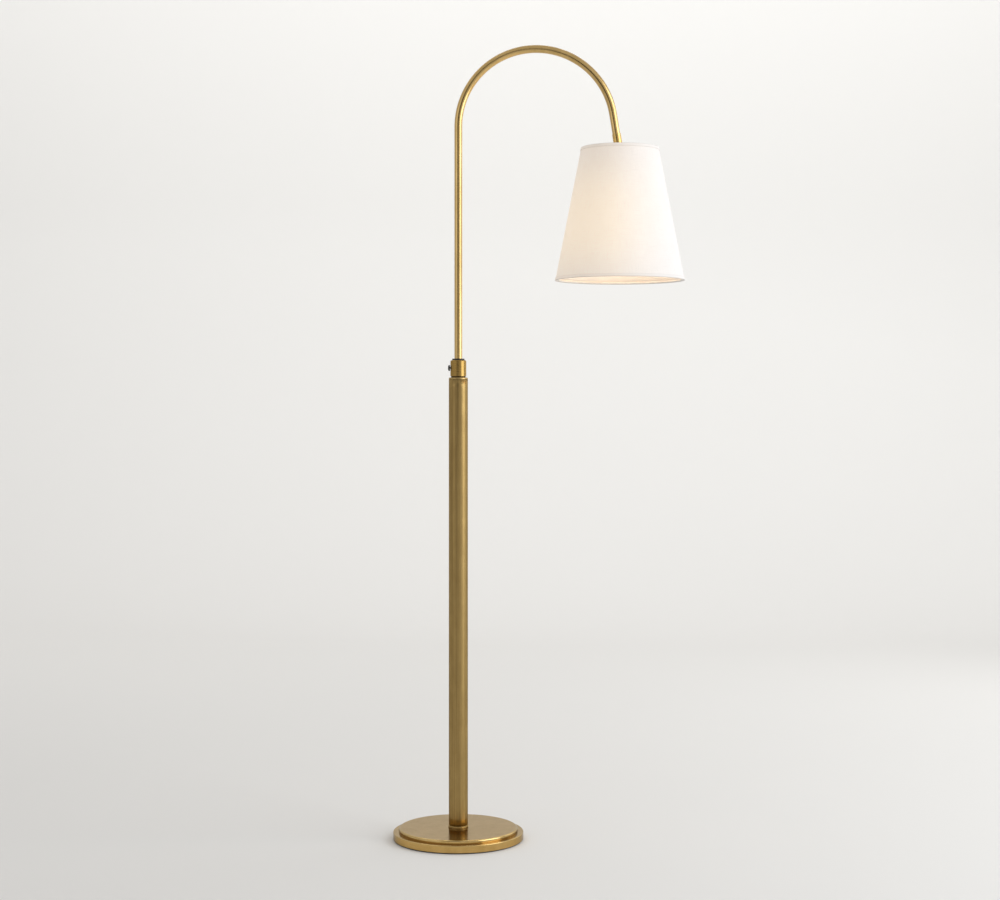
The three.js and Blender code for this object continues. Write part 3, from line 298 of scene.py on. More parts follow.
# %% Drawn tubes
def tube(name, path, radius, sides=32, wall=None, wrap=False, side=(0, 1, 0)):
    """A round tube along a path of points: p + radius (cos t n + sin t b).
    b is the given side made square to the path, and n is square to both.
    With a wall, the surface turns in at the ends and comes back at radius - wall."""
    path = np.asarray(path, float)
    if wrap:
        along = np.roll(path, -1, 0) - np.roll(path, 1, 0)
    else:
        along = np.gradient(path, axis=0)
    along /= np.linalg.norm(along, axis=1)[:, None]
    b = np.array(side, float) - (along @ np.array(side, float))[:, None] * along
    b /= np.linalg.norm(b, axis=1)[:, None]
    n = np.cross(b, along)
    radii = np.broadcast_to(np.asarray(radius, float), (len(path),))
    length = path_length(path)
    if wall:
        back = slice(None, None, -1)
        path, n, b = (np.vstack((v, v[back])) for v in (path, n, b))
        radii = np.concatenate((radii, (radii - wall)[back]))
        length = np.concatenate((length, length[back]))
        wrap = True
    elif not wrap:
        path, n, b = (np.vstack((v[:1], v, v[-1:])) for v in (path, n, b))
        radii = np.concatenate(([0], radii, [0]))
        length = np.concatenate((length[:1], length, length[-1:]))
    t = np.linspace(0, 2 * math.pi, sides, endpoint=False)
    c, s = np.cos(t)[None, :, None], np.sin(t)[None, :, None]
    rows = path[:, None] + radii[:, None, None] * (c * n[:, None] + s * b[:, None])
    around = radii.max() * np.stack((np.cos(t), np.sin(t)), -1)
    grain = np.concatenate((
        np.broadcast_to(around, (len(path), sides, 2)),
        np.broadcast_to(length[:, None, None], (len(path), sides, 1))), -1)
    return surface(name, rows, grain, wrap=wrap)


# %% [markdown]
# ## Small fittings from the CAD
# Nuts, screws and the two halves of the knuckle already have the right shape in the CAD, so
# drawing them again would only risk a misfit. A copy of such a node is merged into one skin,
# its coplanar triangles are dissolved, and a fine Bevel modifier breaks its edges, because a
# machined edge catches a line of light.

# %% Refined copies
MERGE = 2e-6  # corners closer than this are one corner
BEVEL_SEGMENTS = 2
BEVEL_ANGLE = math.radians(38)  # sharper edges than this are broken
FLAT_ANGLE = math.radians(1)  # triangles that turn less than this are one face


def refined(name, node, bevel):
    """A copy of a CAD node's mesh: merged, its flat faces made whole, its edges bevelled."""
    source = frame["nodes"][node].data
    points = np.empty(len(source.vertices) * 3)
    source.vertices.foreach_get("co", points)
    corners = np.empty(len(source.loops), np.int32)
    source.loops.foreach_get("vertex_index", corners)
    keys, which = np.unique(np.round(points.reshape(-1, 3) / MERGE), axis=0, return_inverse=True)
    mesh = bpy.data.meshes.new(name)
    mesh.from_pydata(keys * MERGE, [], which.ravel()[corners].reshape(-1, 3).tolist())
    work = bmesh.new()
    work.from_mesh(mesh)
    bmesh.ops.dissolve_limit(work, angle_limit=FLAT_ANGLE, verts=work.verts, edges=work.edges)
    work.to_mesh(mesh)
    work.free()
    piece = finished(name, mesh)
    edges = piece.modifiers.new("broken edges", "BEVEL")
    edges.width = bevel
    edges.segments = BEVEL_SEGMENTS
    edges.limit_method = "ANGLE"
    edges.angle_limit = BEVEL_ANGLE
    edges.harden_normals = True
    return piece


def together(name, *pieces):
    """Several closed skins kept as one piece, such as a wire ring and its arms."""
    work = bmesh.new()
    for piece in pieces:
        work.from_mesh(piece.data)
    mesh = bpy.data.meshes.new(name)
    work.to_mesh(mesh)
    work.free()
    for piece in pieces:
        bpy.data.objects.remove(piece)
    return finished(name, mesh)


def place_of(node):
    """Lowest corner, highest corner and middle of a CAD node."""
    low, high = (np.array(corner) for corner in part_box(node))
    return low, high, (low + high) / 2


# %% [markdown]
# ## Finishes
# A material is a Principled shader with a few textures before it. Nodes could be placed by
# hand in the editor, but a script that names each step is easier to read and to change. The
# small class below keeps one material while it is made, with short ways to add a node, a
# noise or a mix. Numbers that are the same all over are set on the shader itself.

# %% Finish helper
class Finish:
    """One material while it is being made."""

    def __init__(self, name, **numbers):
        self.material = bpy.data.materials.new(name)
        self.material.use_nodes = True
        self.tree = self.material.node_tree
        self.shader = self.tree.nodes["Principled BSDF"]
        for socket, value in numbers.items():
            self.shader.inputs[socket.replace("_", " ")].default_value = value

    def add(self, kind, inputs=(), **settings):
        """A new node; each input is a value or another node's output."""
        node = self.tree.nodes.new("ShaderNode" + kind)
        for key, value in settings.items():
            setattr(node, key, value)
        for key, value in dict(inputs).items():
            self.put(node.inputs[key], value)
        return node

    def put(self, socket, value):
        if isinstance(value, bpy.types.NodeSocket):
            self.tree.links.new(value, socket)
        else:
            socket.default_value = value

    def read(self, attribute, output="Vector"):
        return self.add("Attribute", attribute_name=attribute).outputs[output]

    def where(self):
        return self.add("TexCoord").outputs["Object"]

    def stretch(self, vector, factors):
        return self.add("VectorMath", {0: vector, 1: factors}, operation="MULTIPLY").outputs[0]

    def noise(self, vector, scale=1.0, detail=3.0, roughness=0.55):
        return self.add("TexNoise", {"Vector": vector, "Scale": scale, "Detail": detail,
                                     "Roughness": roughness}).outputs["Fac"]

    def spread(self, value, low, high, to_low=0.0, to_high=1.0):
        """Carries low..high to to_low..to_high, and stops there."""
        return self.add("MapRange", {"Value": value, "From Min": low, "From Max": high,
                                     "To Min": to_low, "To Max": to_high}).outputs["Result"]

    def calc(self, operation, a, b=0.0, c=0.0):
        return self.add("Math", {0: a, 1: b, 2: c}, operation=operation).outputs[0]

    def mix(self, share, a, b, how="MIX"):
        node = self.add("Mix", {0: share}, data_type="RGBA", blend_type=how)
        self.put(node.inputs[6], a)
        self.put(node.inputs[7], b)
        return node.outputs[2]

    def relief(self, height, depth, strength=1.0):
        """Bump from a height of 0 to 1 that stands for depth metres."""
        node = self.add("Bump", {"Height": height, "Distance": depth, "Strength": strength})
        self.put(self.shader.inputs["Normal"], node.outputs[0])

    def colour(self, value):
        self.put(self.shader.inputs["Base Color"], value)

    def rough(self, value):
        self.put(self.shader.inputs["Roughness"], value)


# %% [markdown]
# ## Brass
# The lamp has two brasses. The column and the base are antique brass: toned dark in a bath,
# rubbed back along the tube, then lacquered matt, which leaves a cloudy colour and a fine
# grain. The arm is satin brass, lighter and glossier. An even metal colour would look like
# plastic, so one function lays cloud, grain and specks over the colour and the roughness.
# Grain follows the drawing direction on tubes and runs round on turned pieces, and edges are
# lighter where the rubbing took the tone off.

# %% Brass finishes
# How fast each noise runs across and along the metal, in waves for a metre.
DRAWN_ALONG = 9.0
TURNED_ROUND = 7.0
STREAK_SCALES = (230, 230, 2.2)
STREAK_DEPTH = 0.62  # a streak is the toned colour times this
GROOVE_TONE_AND_SHADE = (0.03, 0.018, 0.008, 1)


def brass(name, base, toned, worn, roughness, drawn, fine=1100.0, gloss=0.0, own_grain=True,
          depth=0.012, lined=0.34, groove=None, edge_on=(1, 1, 1), streaks=0.0):
    """Metal with a directional grain. Colour: base to toned by a cloudy noise, times a grain
    of a few per cent, towards worn on edges. Roughness rises a little in the cloudy parts.
    groove is a pair of heights between which the colour is darkened: old dark tone left in a turned
    groove, and painted shade.
    edge_on is how much a toned surface still reflects when seen edge on, and streaks is the
    share of broader marks that hand rubbing leaves along a tube."""
    f = Finish(name, Metallic=1.0, Coat_Weight=gloss, Coat_Roughness=0.14,
               Specular_Tint=(*edge_on, 1))
    where = f.where()
    surface_place = f.read("grain") if own_grain else where
    scales = (fine, fine, DRAWN_ALONG) if drawn else (TURNED_ROUND, TURNED_ROUND, fine)
    lines = f.noise(f.stretch(surface_place, scales), detail=4)
    cloud = f.spread(f.noise(f.stretch(where, (1, 1, 0.45)), 46.0, 5, 0.62), 0.32, 0.68)
    specks = f.spread(f.noise(where, 900.0, 2), 0.60, 0.74)
    tone = f.mix(cloud, base, toned)
    tone = f.mix(f.spread(lines, 0.3, 0.7, 0.0, lined), tone, toned)
    tone = f.mix(f.calc("MULTIPLY", specks, 0.25), tone, toned)
    if streaks:
        rubbed = f.noise(f.stretch(surface_place, STREAK_SCALES), detail=2)
        streak_tone = (*(STREAK_DEPTH * v for v in toned[:3]), 1)
        tone = f.mix(f.spread(rubbed, 0.42, 0.62, 0.0, streaks), tone, streak_tone)
    edge = f.calc("MULTIPLY", f.read("wear", "Fac"), f.spread(cloud, 0, 1, 0.85, 0.35))
    tone = f.mix(edge, tone, worn)
    # Painted shade with the old tone: the colour goes nearly black between the groove's heights.
    if groove:
        up = f.add("SeparateXYZ", {0: where}).outputs["Z"]
        above, below = f.calc("GREATER_THAN", up, groove[0]), f.calc("LESS_THAN", up, groove[1])
        inside = f.calc("MULTIPLY", above, below)
        tone = f.mix(f.calc("MULTIPLY", inside, 0.92), tone, GROOVE_TONE_AND_SHADE)
    f.colour(tone)
    uneven = f.calc(
        "ADD", f.spread(lines, 0.25, 0.75, -0.05, 0.06), f.spread(cloud, 0, 1, -0.02, 0.05))
    f.rough(f.calc("ADD", uneven, roughness))
    f.relief(lines, depth * MM)
    return f.material


ANTIQUE = (0.475, 0.328, 0.125, 1)
ANTIQUE_TONED = (0.352, 0.236, 0.088, 1)
ANTIQUE_WORN = (0.62, 0.46, 0.21, 1)
BASE_TONE = (0.620, 0.405, 0.146, 1)
BASE_TONED = (0.515, 0.330, 0.108, 1)
SATIN = (0.72, 0.490, 0.185, 1)
SATIN_TONED = (0.57, 0.375, 0.120, 1)
SATIN_WORN = (0.86, 0.67, 0.34, 1)
antique = ANTIQUE, ANTIQUE_TONED, ANTIQUE_WORN
satin = SATIN, SATIN_TONED, SATIN_WORN

finishes = {}
finishes["antique_drawn"] = brass(
    "antique brass drawn", *antique, 0.38, True, fine=620.0, depth=0.03, lined=0.85,
    edge_on=(0.66, 0.64, 0.60), streaks=0.45)
finishes["antique_turned"] = brass(
    "antique brass turned", *antique, 0.34, False, edge_on=(0.7, 0.68, 0.64))
finishes["antique_spun"] = brass(
    "antique brass spun", BASE_TONE, BASE_TONED, ANTIQUE_WORN, 0.15, False,
    edge_on=(0.65, 0.67, 0.69))
finishes["antique_plain"] = brass("antique brass", *antique, 0.40, True, own_grain=False)
finishes["satin_drawn"] = brass(
    "satin brass drawn", *satin, 0.22, True, 800.0, 1.0, edge_on=(0.80, 0.80, 0.84))
finishes["satin_turned"] = brass("satin brass turned", *satin, 0.24, False, 900.0)
finishes["satin_plain"] = brass("satin brass", *satin, 0.26, True, own_grain=False)
finishes["raw_brass"] = brass(
    "plain brass", (0.78, 0.60, 0.27, 1), (0.64, 0.46, 0.18, 1), SATIN_WORN, 0.30, False,
    own_grain=False)
finishes["zinc_steel"] = brass(
    "zinc plated steel", (0.55, 0.56, 0.57, 1), (0.42, 0.43, 0.45, 1), (0.7, 0.7, 0.7, 1),
    0.32, False, own_grain=False)
print("brass and steel finishes", len(finishes))

# %% [markdown]
# ## Plastics, iron, felt and fibre
# These show little, but each still has its own surface: a casting is pebbled under its
# paint, nylon has a fine mould texture, felt is a mat of hairs and vulcanised fibre is
# flecked. All of them are uneven in the same two ways, in patches of tone and in small pits,
# so they share one function with a coarse and a fine noise instead of a tree each.

# %% Dull finishes
def dull(name, light, dark, roughness, coarse, fine, depth, **numbers):
    """A non-metal surface. Colour runs between two tones by a coarse noise, relief by a fine one."""
    f = Finish(name, **numbers)
    where = f.where()
    patches = f.noise(where, coarse, 4)
    pits = f.noise(where, fine, 3)
    f.colour(f.mix(f.spread(patches, 0.3, 0.7), light, dark))
    f.rough(f.spread(pits, 0.2, 0.8, roughness - 0.06, roughness + 0.08))
    f.relief(pits, depth * MM)
    return f.material


finishes["cast_iron"] = dull(
    "painted casting", (0.035, 0.035, 0.037, 1), (0.018, 0.018, 0.019, 1), 0.6, 60, 700, 0.25)
finishes["black_felt"] = dull(
    "pressed felt", (0.030, 0.028, 0.026, 1), (0.012, 0.011, 0.010, 1), 0.95, 300, 2600, 0.30,
    Sheen_Weight=0.5, Sheen_Roughness=0.6)
finishes["black_nylon"] = dull(
    "moulded nylon", (0.020, 0.019, 0.018, 1), (0.012, 0.011, 0.011, 1), 0.42, 90, 3200, 0.02)
finishes["black_enamel"] = dull(
    "black gloss enamel", (0.010, 0.010, 0.010, 1), (0.006, 0.006, 0.006, 1), 0.40, 120, 1500, 0.006,
    Specular_IOR_Level=0.04)
finishes["black_phenolic"] = dull(
    "black phenolic", (0.018, 0.016, 0.015, 1), (0.009, 0.008, 0.008, 1), 0.25, 150, 1800, 0.01)
finishes["fibre"] = dull(
    "vulcanised fibre", (0.30, 0.17, 0.10, 1), (0.17, 0.09, 0.055, 1), 0.8, 500, 2400, 0.05)
finishes["white_enamel"] = dull(
    "white powder coat", (0.80, 0.79, 0.75, 1), (0.70, 0.69, 0.66, 1), 0.38, 80, 1600, 0.03)
finishes["lead_vinyl"] = dull(
    "vinyl sleeve", (0.026, 0.024, 0.022, 1), (0.015, 0.014, 0.013, 1), 0.45, 200, 2000, 0.02)

# %% [markdown]
# ## Linen and its lining
# The shade is plain-woven linen laminated on a white styrene sheet. `cloth` is an attribute
# with the distance round and up the cloth, so the weave follows the cone. A thread is one
# half wave of a sine, and the sign of the product of both sines says which thread lies on
# top. Long thin noises thicken some threads, which are the slubs that make linen linen.
# A lit shade glows. Light could be traced through the layers, but that is slow and noisy, so
# the cloth gives off a little light itself: most at the bulb's height, fading up and down,
# warm on the side towards the column and paler on the outer side. Where the cloth folds
# under at a rim it is thicker, and the glow is held back. Its colour is painted darker there
# too, and in the hollows between threads: painted shade.

# %% Cloth finishes
THREAD = 0.72 * MM  # distance between threads
bulb_low, bulb_high, bulb_middle = place_of("bulb_glass")
BULB_RADIUS = (bulb_high[0] - bulb_low[0]) / 2
GLOBE_HEIGHT = bulb_low[2] + BULB_RADIUS
GLOW_LIFT = 0.020  # the glow's middle stands this much above the globe's
GLOW_REACH = 0.19  # up and down from the glow's middle
SHADE_FOOT = place_of("shade_bottom_hem")[0][2]
GLOW_INNER, GLOW_OUTER = -0.02, 0.10  # from the bulb's axis, where warm turns to pale

THREAD_LIGHT, THREAD_SHADE = (0.645, 0.638, 0.630, 1), (0.620, 0.612, 0.602, 1)
THREAD_GAP_SHADE = (0.58, 0.562, 0.535, 1)
SLUB_TONE = (0.68, 0.66, 0.61, 1)
FOLD_SHADE = (0.42, 0.39, 0.35, 1)
GLOW_DIM, GLOW_FULL = (1.16, 0.92, 0.71, 1), (1.72, 1.29, 0.80, 1)
GLOW_PALE = (0.86, 0.75, 0.72, 1)
NO_GLOW = (0.0, 0.0, 0.0, 1)


def linen(name, glow, rim_shading=0.0):
    """Plain weave. Height: |sin| of the thread that lies on top; slubs add to it.
    The last argument is how much painted shade darkens the bottom rim where the tape folds under."""
    f = Finish(name, Sheen_Weight=0.25, Sheen_Roughness=0.5, Emission_Strength=glow)
    cloth = f.read("cloth")
    axes = f.add("SeparateXYZ", {0: cloth}).outputs
    round_wave, up_wave = (
        f.calc("SINE", f.calc("MULTIPLY", axis, math.pi / THREAD)) for axis in axes[:2])
    over = f.calc("GREATER_THAN", f.calc("MULTIPLY", round_wave, up_wave), 0.0)
    warp, weft = f.calc("ABSOLUTE", round_wave), f.calc("ABSOLUTE", up_wave)
    under_weft = f.calc("MULTIPLY", f.calc("SUBTRACT", 1.0, over), weft)
    weave = f.calc("ADD", f.calc("MULTIPLY", over, warp), under_weft)
    slub_round = f.noise(f.stretch(cloth, (38, 1150, 1)), detail=2)
    slub_up = f.noise(f.stretch(cloth, (1150, 38, 1)), detail=2)
    slubs = f.spread(f.calc("MAXIMUM", slub_round, slub_up), 0.52, 0.78)
    height = f.calc("MULTIPLY_ADD", slubs, 0.9, weave)
    patches = f.noise(f.where(), 30.0, 4)
    thread_tone = f.mix(f.spread(patches, 0.3, 0.7), THREAD_LIGHT, THREAD_SHADE)
    # Painted shade: the colour is darker in the hollows between the threads.
    tone = f.mix(f.spread(weave, 0.0, 0.6, 0.30, 0.0), thread_tone, THREAD_GAP_SHADE)
    tone = f.mix(f.calc("MULTIPLY", slubs, 0.16), tone, SLUB_TONE)
    place = f.add("SeparateXYZ", {0: f.where()}).outputs
    # Painted shade: the colour darkens along the bottom two millimetres of the rim and on the hem's
    # rounded fold edges.
    under = f.spread(place["Z"], SHADE_FOOT, SHADE_FOOT + 2 * MM, rim_shading, 0.0)
    fold_shade = f.calc("MAXIMUM", f.read("wear", "Fac"), under)
    f.colour(f.mix(f.calc("MULTIPLY", fold_shade, 0.6), tone, FOLD_SHADE))
    f.rough(f.spread(weave, 0.0, 1.0, 0.95, 0.82))
    f.relief(height, 0.05 * MM, 0.6)
    away = f.calc("ABSOLUTE", f.calc("SUBTRACT", place["Z"], GLOBE_HEIGHT + GLOW_LIFT))
    band = f.add("MapRange", {"Value": away, "From Min": 0.0, "From Max": GLOW_REACH, "To Min": 1.0,
                              "To Max": 0.0}, interpolation_type="SMOOTHERSTEP").outputs["Result"]
    lit = f.mix(band, GLOW_DIM, GLOW_FULL)
    outer_side = f.spread(place["X"], bulb_middle[0] + GLOW_INNER, bulb_middle[0] + GLOW_OUTER)
    lit = f.mix(outer_side, lit, GLOW_PALE)
    lit = f.mix(f.spread(slubs, 0, 1, 0.0, 0.25), lit, NO_GLOW)
    lit = f.mix(f.calc("MULTIPLY", fold_shade, 0.8), lit, NO_GLOW)
    f.put(f.shader.inputs["Emission Color"], lit)
    return f.material


finishes["white_linen"] = linen("white linen", 0.30)
finishes["linen_edge"] = linen("white linen edge", 0.26, rim_shading=0.4)
finishes["white_styrene"] = dull(
    "white styrene", (0.86, 0.835, 0.79, 1), (0.82, 0.795, 0.75, 1), 0.55, 40, 900, 0.02)

# %% [markdown]
# ## Frosted glass
# The bulb is frosted, so nothing can be seen inside it. Clear glass with a filament would
# need traced light to look right. A rough white surface that gives off warm light looks the
# same from outside, and a point light inside it does most of the lighting.

# %% Glass finish
def opal(name, strength):
    """Frosted glass that is lit: warm light, a little stronger low on the globe."""
    f = Finish(name, Roughness=0.35, Coat_Weight=0.3, Coat_Roughness=0.1, Emission_Strength=strength)
    mist = f.noise(f.where(), 120.0, 4)
    f.colour(f.mix(f.spread(mist, 0.3, 0.7), (0.93, 0.91, 0.87, 1), (0.88, 0.85, 0.80, 1)))
    up = f.add("SeparateXYZ", {0: f.where()}).outputs["Z"]
    low = f.spread(up, float(bulb_low[2]), float(bulb_high[2]), 0.0, 1.0)
    f.put(f.shader.inputs["Emission Color"], f.mix(low, (1.0, 0.86, 0.66, 1), (0.8, 0.55, 0.32, 1)))
    f.relief(mist, 0.01 * MM)
    return f.material


finishes["opal_glass"] = opal("frosted opal glass", 2.2)
print("all finishes", sorted(finishes))

# %% [markdown]
# ## Hanging a piece on the frame
# Each new piece takes its finish, the body it moves with, and the CAD nodes that it stands
# for. Parenting by hand could miss one of them, so one call does all three.

# %% Mount a piece
made = []
slot_of = {part["node"]: part["material_slot"] for part in frame["record"]["subparts"]}


def mount(piece, finish, body, *nodes, slot=None):
    """Gives the piece its finish, sets it on its body, and hides the CAD nodes it replaces."""
    piece.data.materials.clear()
    piece.data.materials.append(finishes[finish])
    if body:
        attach(piece, body)
    if nodes:
        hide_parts(*nodes)
    made.append(piece.name)
    return piece


print("slots", len(set(slot_of.values())))

# %% [markdown]
# ## The base
# A weighted base is a spun brass cover over an iron disc. The cover has two tiers: the lower
# one has a small rounded rim, then comes a fine groove that reads as a dark line, and the
# upper one has a broad rounded shoulder that catches the light. A cylinder with bevels would
# need one for each edge, while one outline turned on a lathe holds them all, and the inside
# as well. The cover stands on a felt pad set slightly inside, which leaves a shadow line.

# %% Base cover and felt
cover_low, cover_high, _ = place_of("base_cover")
COVER_RADIUS = cover_high[0]
TIER_RADIUS = COVER_RADIUS - 11.5 * MM
TIER_RISE = 7.5 * MM
TIER_SHOULDER = 3.2 * MM
LOWER_RIM = 1.4 * MM
GROOVE_WIDTH, GROOVE_DEPTH = 1.2 * MM, 0.6 * MM
COVER_WALL = 1.2 * MM
STEM_HOLE = 6.8 * MM
FLAT_RINGS = 22 * MM, 60 * MM  # extra rings that keep the wide top flat
cover_bottom, cover_top = cover_low[2], cover_high[2]
lower_top = cover_top - TIER_RISE
groove_floor = lower_top - GROOVE_DEPTH
inner_top = lower_top - 2 * COVER_WALL

mount(turned("base_cover_spun", [
    (STEM_HOLE, cover_top, 0),
    *((ring, cover_top, 0) for ring in FLAT_RINGS),
    (TIER_RADIUS, cover_top, TIER_SHOULDER),
    (TIER_RADIUS, groove_floor, 0.15 * MM),
    (TIER_RADIUS + GROOVE_WIDTH, groove_floor, 0.15 * MM),
    (TIER_RADIUS + GROOVE_WIDTH, lower_top, 0.25 * MM),
    (COVER_RADIUS, lower_top, LOWER_RIM),
    (COVER_RADIUS, cover_bottom, 0.35 * MM),
    (COVER_RADIUS - COVER_WALL, cover_bottom, 0.35 * MM),
    (COVER_RADIUS - COVER_WALL, inner_top, 0),
    (TIER_RADIUS - COVER_WALL, inner_top, 0),
    (TIER_RADIUS - COVER_WALL, cover_top - TIER_SHOULDER, 0),
    (TIER_RADIUS - TIER_SHOULDER, cover_top - COVER_WALL, 0),
    (STEM_HOLE, cover_top - COVER_WALL, 0),
], sides=256), "antique_spun", "stand", "base_cover")

pad_low, pad_high, _ = place_of("base_pad")
mount(turned("felt_pad", [
    (0, pad_low[2], 0),
    (pad_high[0], pad_low[2], 0.3 * MM),
    (pad_high[0], pad_high[2], 0.3 * MM),
    (0, pad_high[2], 0),
], closed=False, sides=192), "black_felt", "stand", "base_pad")
print("base", round(COVER_RADIUS * 2, 4), "across,", round(cover_top, 4), "high")

# %% [markdown]
# ## The column
# The column is a straight brass tube between a thin foot ring and a cap. The foot is a
# little wider than the tube, and its chamfer shows as a bright ring on the base. The cap's
# rounded shoulder closes the tube, with a hair-line gap where the two meet. The three could
# be one outline, but a lamp comes apart there, so each is its own piece.

# %% Column, foot and cap
foot_low, foot_high, _ = place_of("column_foot")
column_low, column_high, _ = place_of("column_tube")
cap_low, cap_high, _ = place_of("column_cap")
COLUMN_RADIUS = column_high[0]
COLUMN_WALL = 1.5 * MM
FIT = 0.3 * MM  # room between pieces that fit into or stand on each other
SPIGOT = COLUMN_RADIUS - COLUMN_WALL - FIT
FOOT_CHAMFER = 1.2 * MM
CAP_HOLE = 13.25 * MM
CAP_SHOULDER = 2.4 * MM
foot_top = column_low[2] - FIT
cap_flange = column_high[2] + FIT

mount(turned("column_foot_ring", [
    (STEM_HOLE, foot_low[2], 0),
    (foot_high[0], foot_low[2], 0.25 * MM),
    (foot_high[0], foot_top - FOOT_CHAMFER, 0.3 * MM),
    (foot_high[0] - FOOT_CHAMFER, foot_top, 0.3 * MM),
    (SPIGOT, foot_top, 0),
    (SPIGOT, foot_high[2], 0.4 * MM),
    (STEM_HOLE, foot_high[2], 0),
]), "antique_turned", "stand", "column_foot")

SEAM = 0.22 * MM  # the tube nearly meets the cap
COLUMN_ROWS = 60
column_path = np.zeros((COLUMN_ROWS, 3))
column_path[:, 2] = np.linspace(column_low[2], column_high[2] + SEAM, COLUMN_ROWS)
mount(tube("column_drawn", column_path, COLUMN_RADIUS, sides=128, wall=COLUMN_WALL),
      "antique_drawn", "stand", "column_tube")

mount(turned("column_cap_shoulder", [
    (CAP_HOLE, cap_low[2], 0.3 * MM),
    (SPIGOT, cap_low[2], 0.4 * MM),
    (SPIGOT, cap_flange, 0),
    (COLUMN_RADIUS, cap_flange, 0.05 * MM),
    (COLUMN_RADIUS, cap_high[2], CAP_SHOULDER),
    (CAP_HOLE, cap_high[2], 0.3 * MM),
]), "antique_drawn", "stand", "column_cap")
column_length = column_high[2] - column_low[2]
print("column", round(COLUMN_RADIUS * 2, 5), "across,", round(column_length, 4), "long")

# %% [markdown]
# ## The collar
# The arm slides and turns in a collar on top of the column. The collar sits on a narrow
# neck, so a dark ring parts it from the cap, and its top edge has a chamfer. The knob's screw
# passes through a real hole in its side. A hole cannot be turned, so it is cut with a Boolean
# modifier, and the result is kept as the mesh. The neck's groove is painted nearly black: the
# old dark tone that stays in it, and painted shade.

# %% Collar
collar_low, collar_high, _ = place_of("clamp_collar")
COLLAR_RADIUS = collar_high[0]
COLLAR_NECK = COLLAR_RADIUS - 1.3 * MM
COLLAR_CHAMFER = 1.5 * MM
COLLAR_SPIGOT = 12.95 * MM
COLLAR_BORE = 10.45 * MM
screw_low, screw_high, screw_middle = place_of("thumb_screw")
SCREW_RADIUS = (screw_high[2] - screw_low[2]) / 2
SCREW_CLEARANCE = 0.2 * MM
NECK_HEIGHT = 2.2 * MM
CUT_FROM, CUT_TO = -20 * MM, -5 * MM  # the drill's way, from outside into the bore
neck_bottom = cap_high[2] + FIT
neck_top = neck_bottom + NECK_HEIGHT


def drilled(piece, start, end, radius):
    """The piece with a round hole cut through it from start to end."""
    cutter = tube("cutter", np.linspace(start, end, 4), radius, sides=24, side=(0, 0, 1))
    hole = piece.modifiers.new("hole", "BOOLEAN")
    hole.object = cutter
    hole.solver = "EXACT"
    bpy.context.view_layer.update()
    graph = bpy.context.evaluated_depsgraph_get()
    mesh = bpy.data.meshes.new_from_object(piece.evaluated_get(graph))
    piece.modifiers.clear()
    piece.data = mesh
    bpy.data.objects.remove(cutter)
    return piece


finishes["antique_collar"] = brass(
    "antique brass collar", (0.42, 0.27, 0.085, 1), (0.34, 0.21, 0.06, 1), ANTIQUE_WORN, 0.26, False,
    groove=(float(neck_bottom), float(neck_top)), edge_on=(0.7, 0.66, 0.6))
collar = turned("arm_collar", [
    (COLLAR_BORE, collar_low[2], 0.2 * MM),
    (COLLAR_SPIGOT, collar_low[2], 0.3 * MM),
    (COLLAR_SPIGOT, neck_bottom, 0),
    (COLLAR_NECK, neck_bottom, 0.15 * MM),
    (COLLAR_NECK, neck_top, 0.15 * MM),
    (COLLAR_RADIUS, neck_top, 0.2 * MM),
    (COLLAR_RADIUS, collar_high[2] - COLLAR_CHAMFER, 0.2 * MM),
    (COLLAR_RADIUS - COLLAR_CHAMFER, collar_high[2], 0.2 * MM),
    (COLLAR_BORE, collar_high[2], 0.2 * MM),
])
drilled(collar, (CUT_FROM, 0, screw_middle[2]), (CUT_TO, 0, screw_middle[2]),
        SCREW_RADIUS + SCREW_CLEARANCE)
mount(collar, "antique_collar", "stand", "clamp_collar")
print("collar", round(COLLAR_RADIUS * 2, 5), "across,", len(collar.data.polygons), "faces")

# %% [markdown]
# ## The sleeve
# A split nylon sleeve lines the collar, so that brass never rubs on brass, and shows as a
# thin black flange round the arm. It is turned like the rest, and the slit is simply a turn
# that stops short, which is easier than cutting one.

# %% Sleeve
sleeve_low, sleeve_high, _ = place_of("clamp_sleeve")
arm_low, arm_high, _ = place_of("arm_tube")
ARM_RADIUS = -arm_low[0]
SLEEVE_BORE = ARM_RADIUS + FIT
SLEEVE_WALL = 1.9 * MM
SLEEVE_RADIUS = SLEEVE_BORE + SLEEVE_WALL
SLEEVE_FLANGE = 3.0 * MM
SLEEVE_SLIT = 1.4 * MM
sleeve_shoulder = sleeve_high[2] - SLEEVE_FLANGE
mount(turned("nylon_sleeve", [
    (SLEEVE_BORE, sleeve_low[2], 0.2 * MM),
    (SLEEVE_RADIUS, sleeve_low[2], 0.2 * MM),
    (SLEEVE_RADIUS, sleeve_shoulder, 0),
    (sleeve_high[0], sleeve_shoulder, 0.2 * MM),
    (sleeve_high[0], sleeve_high[2], 0.8 * MM),
    (SLEEVE_BORE, sleeve_high[2], 0.4 * MM),
], sides=96, slit=SLEEVE_SLIT / SLEEVE_RADIUS), "black_nylon", "sleeve", "clamp_sleeve")
print("sleeve", round(SLEEVE_BORE * 2, 5), "bore, slit", SLEEVE_SLIT)

# %% [markdown]
# ## The knob and its screw
# A small black knob with a domed face screws in from the side and holds the arm. Its thread
# is a real one, a radius that waves with height and angle, because a bump on a smooth rod
# would leave the rod's outline straight.

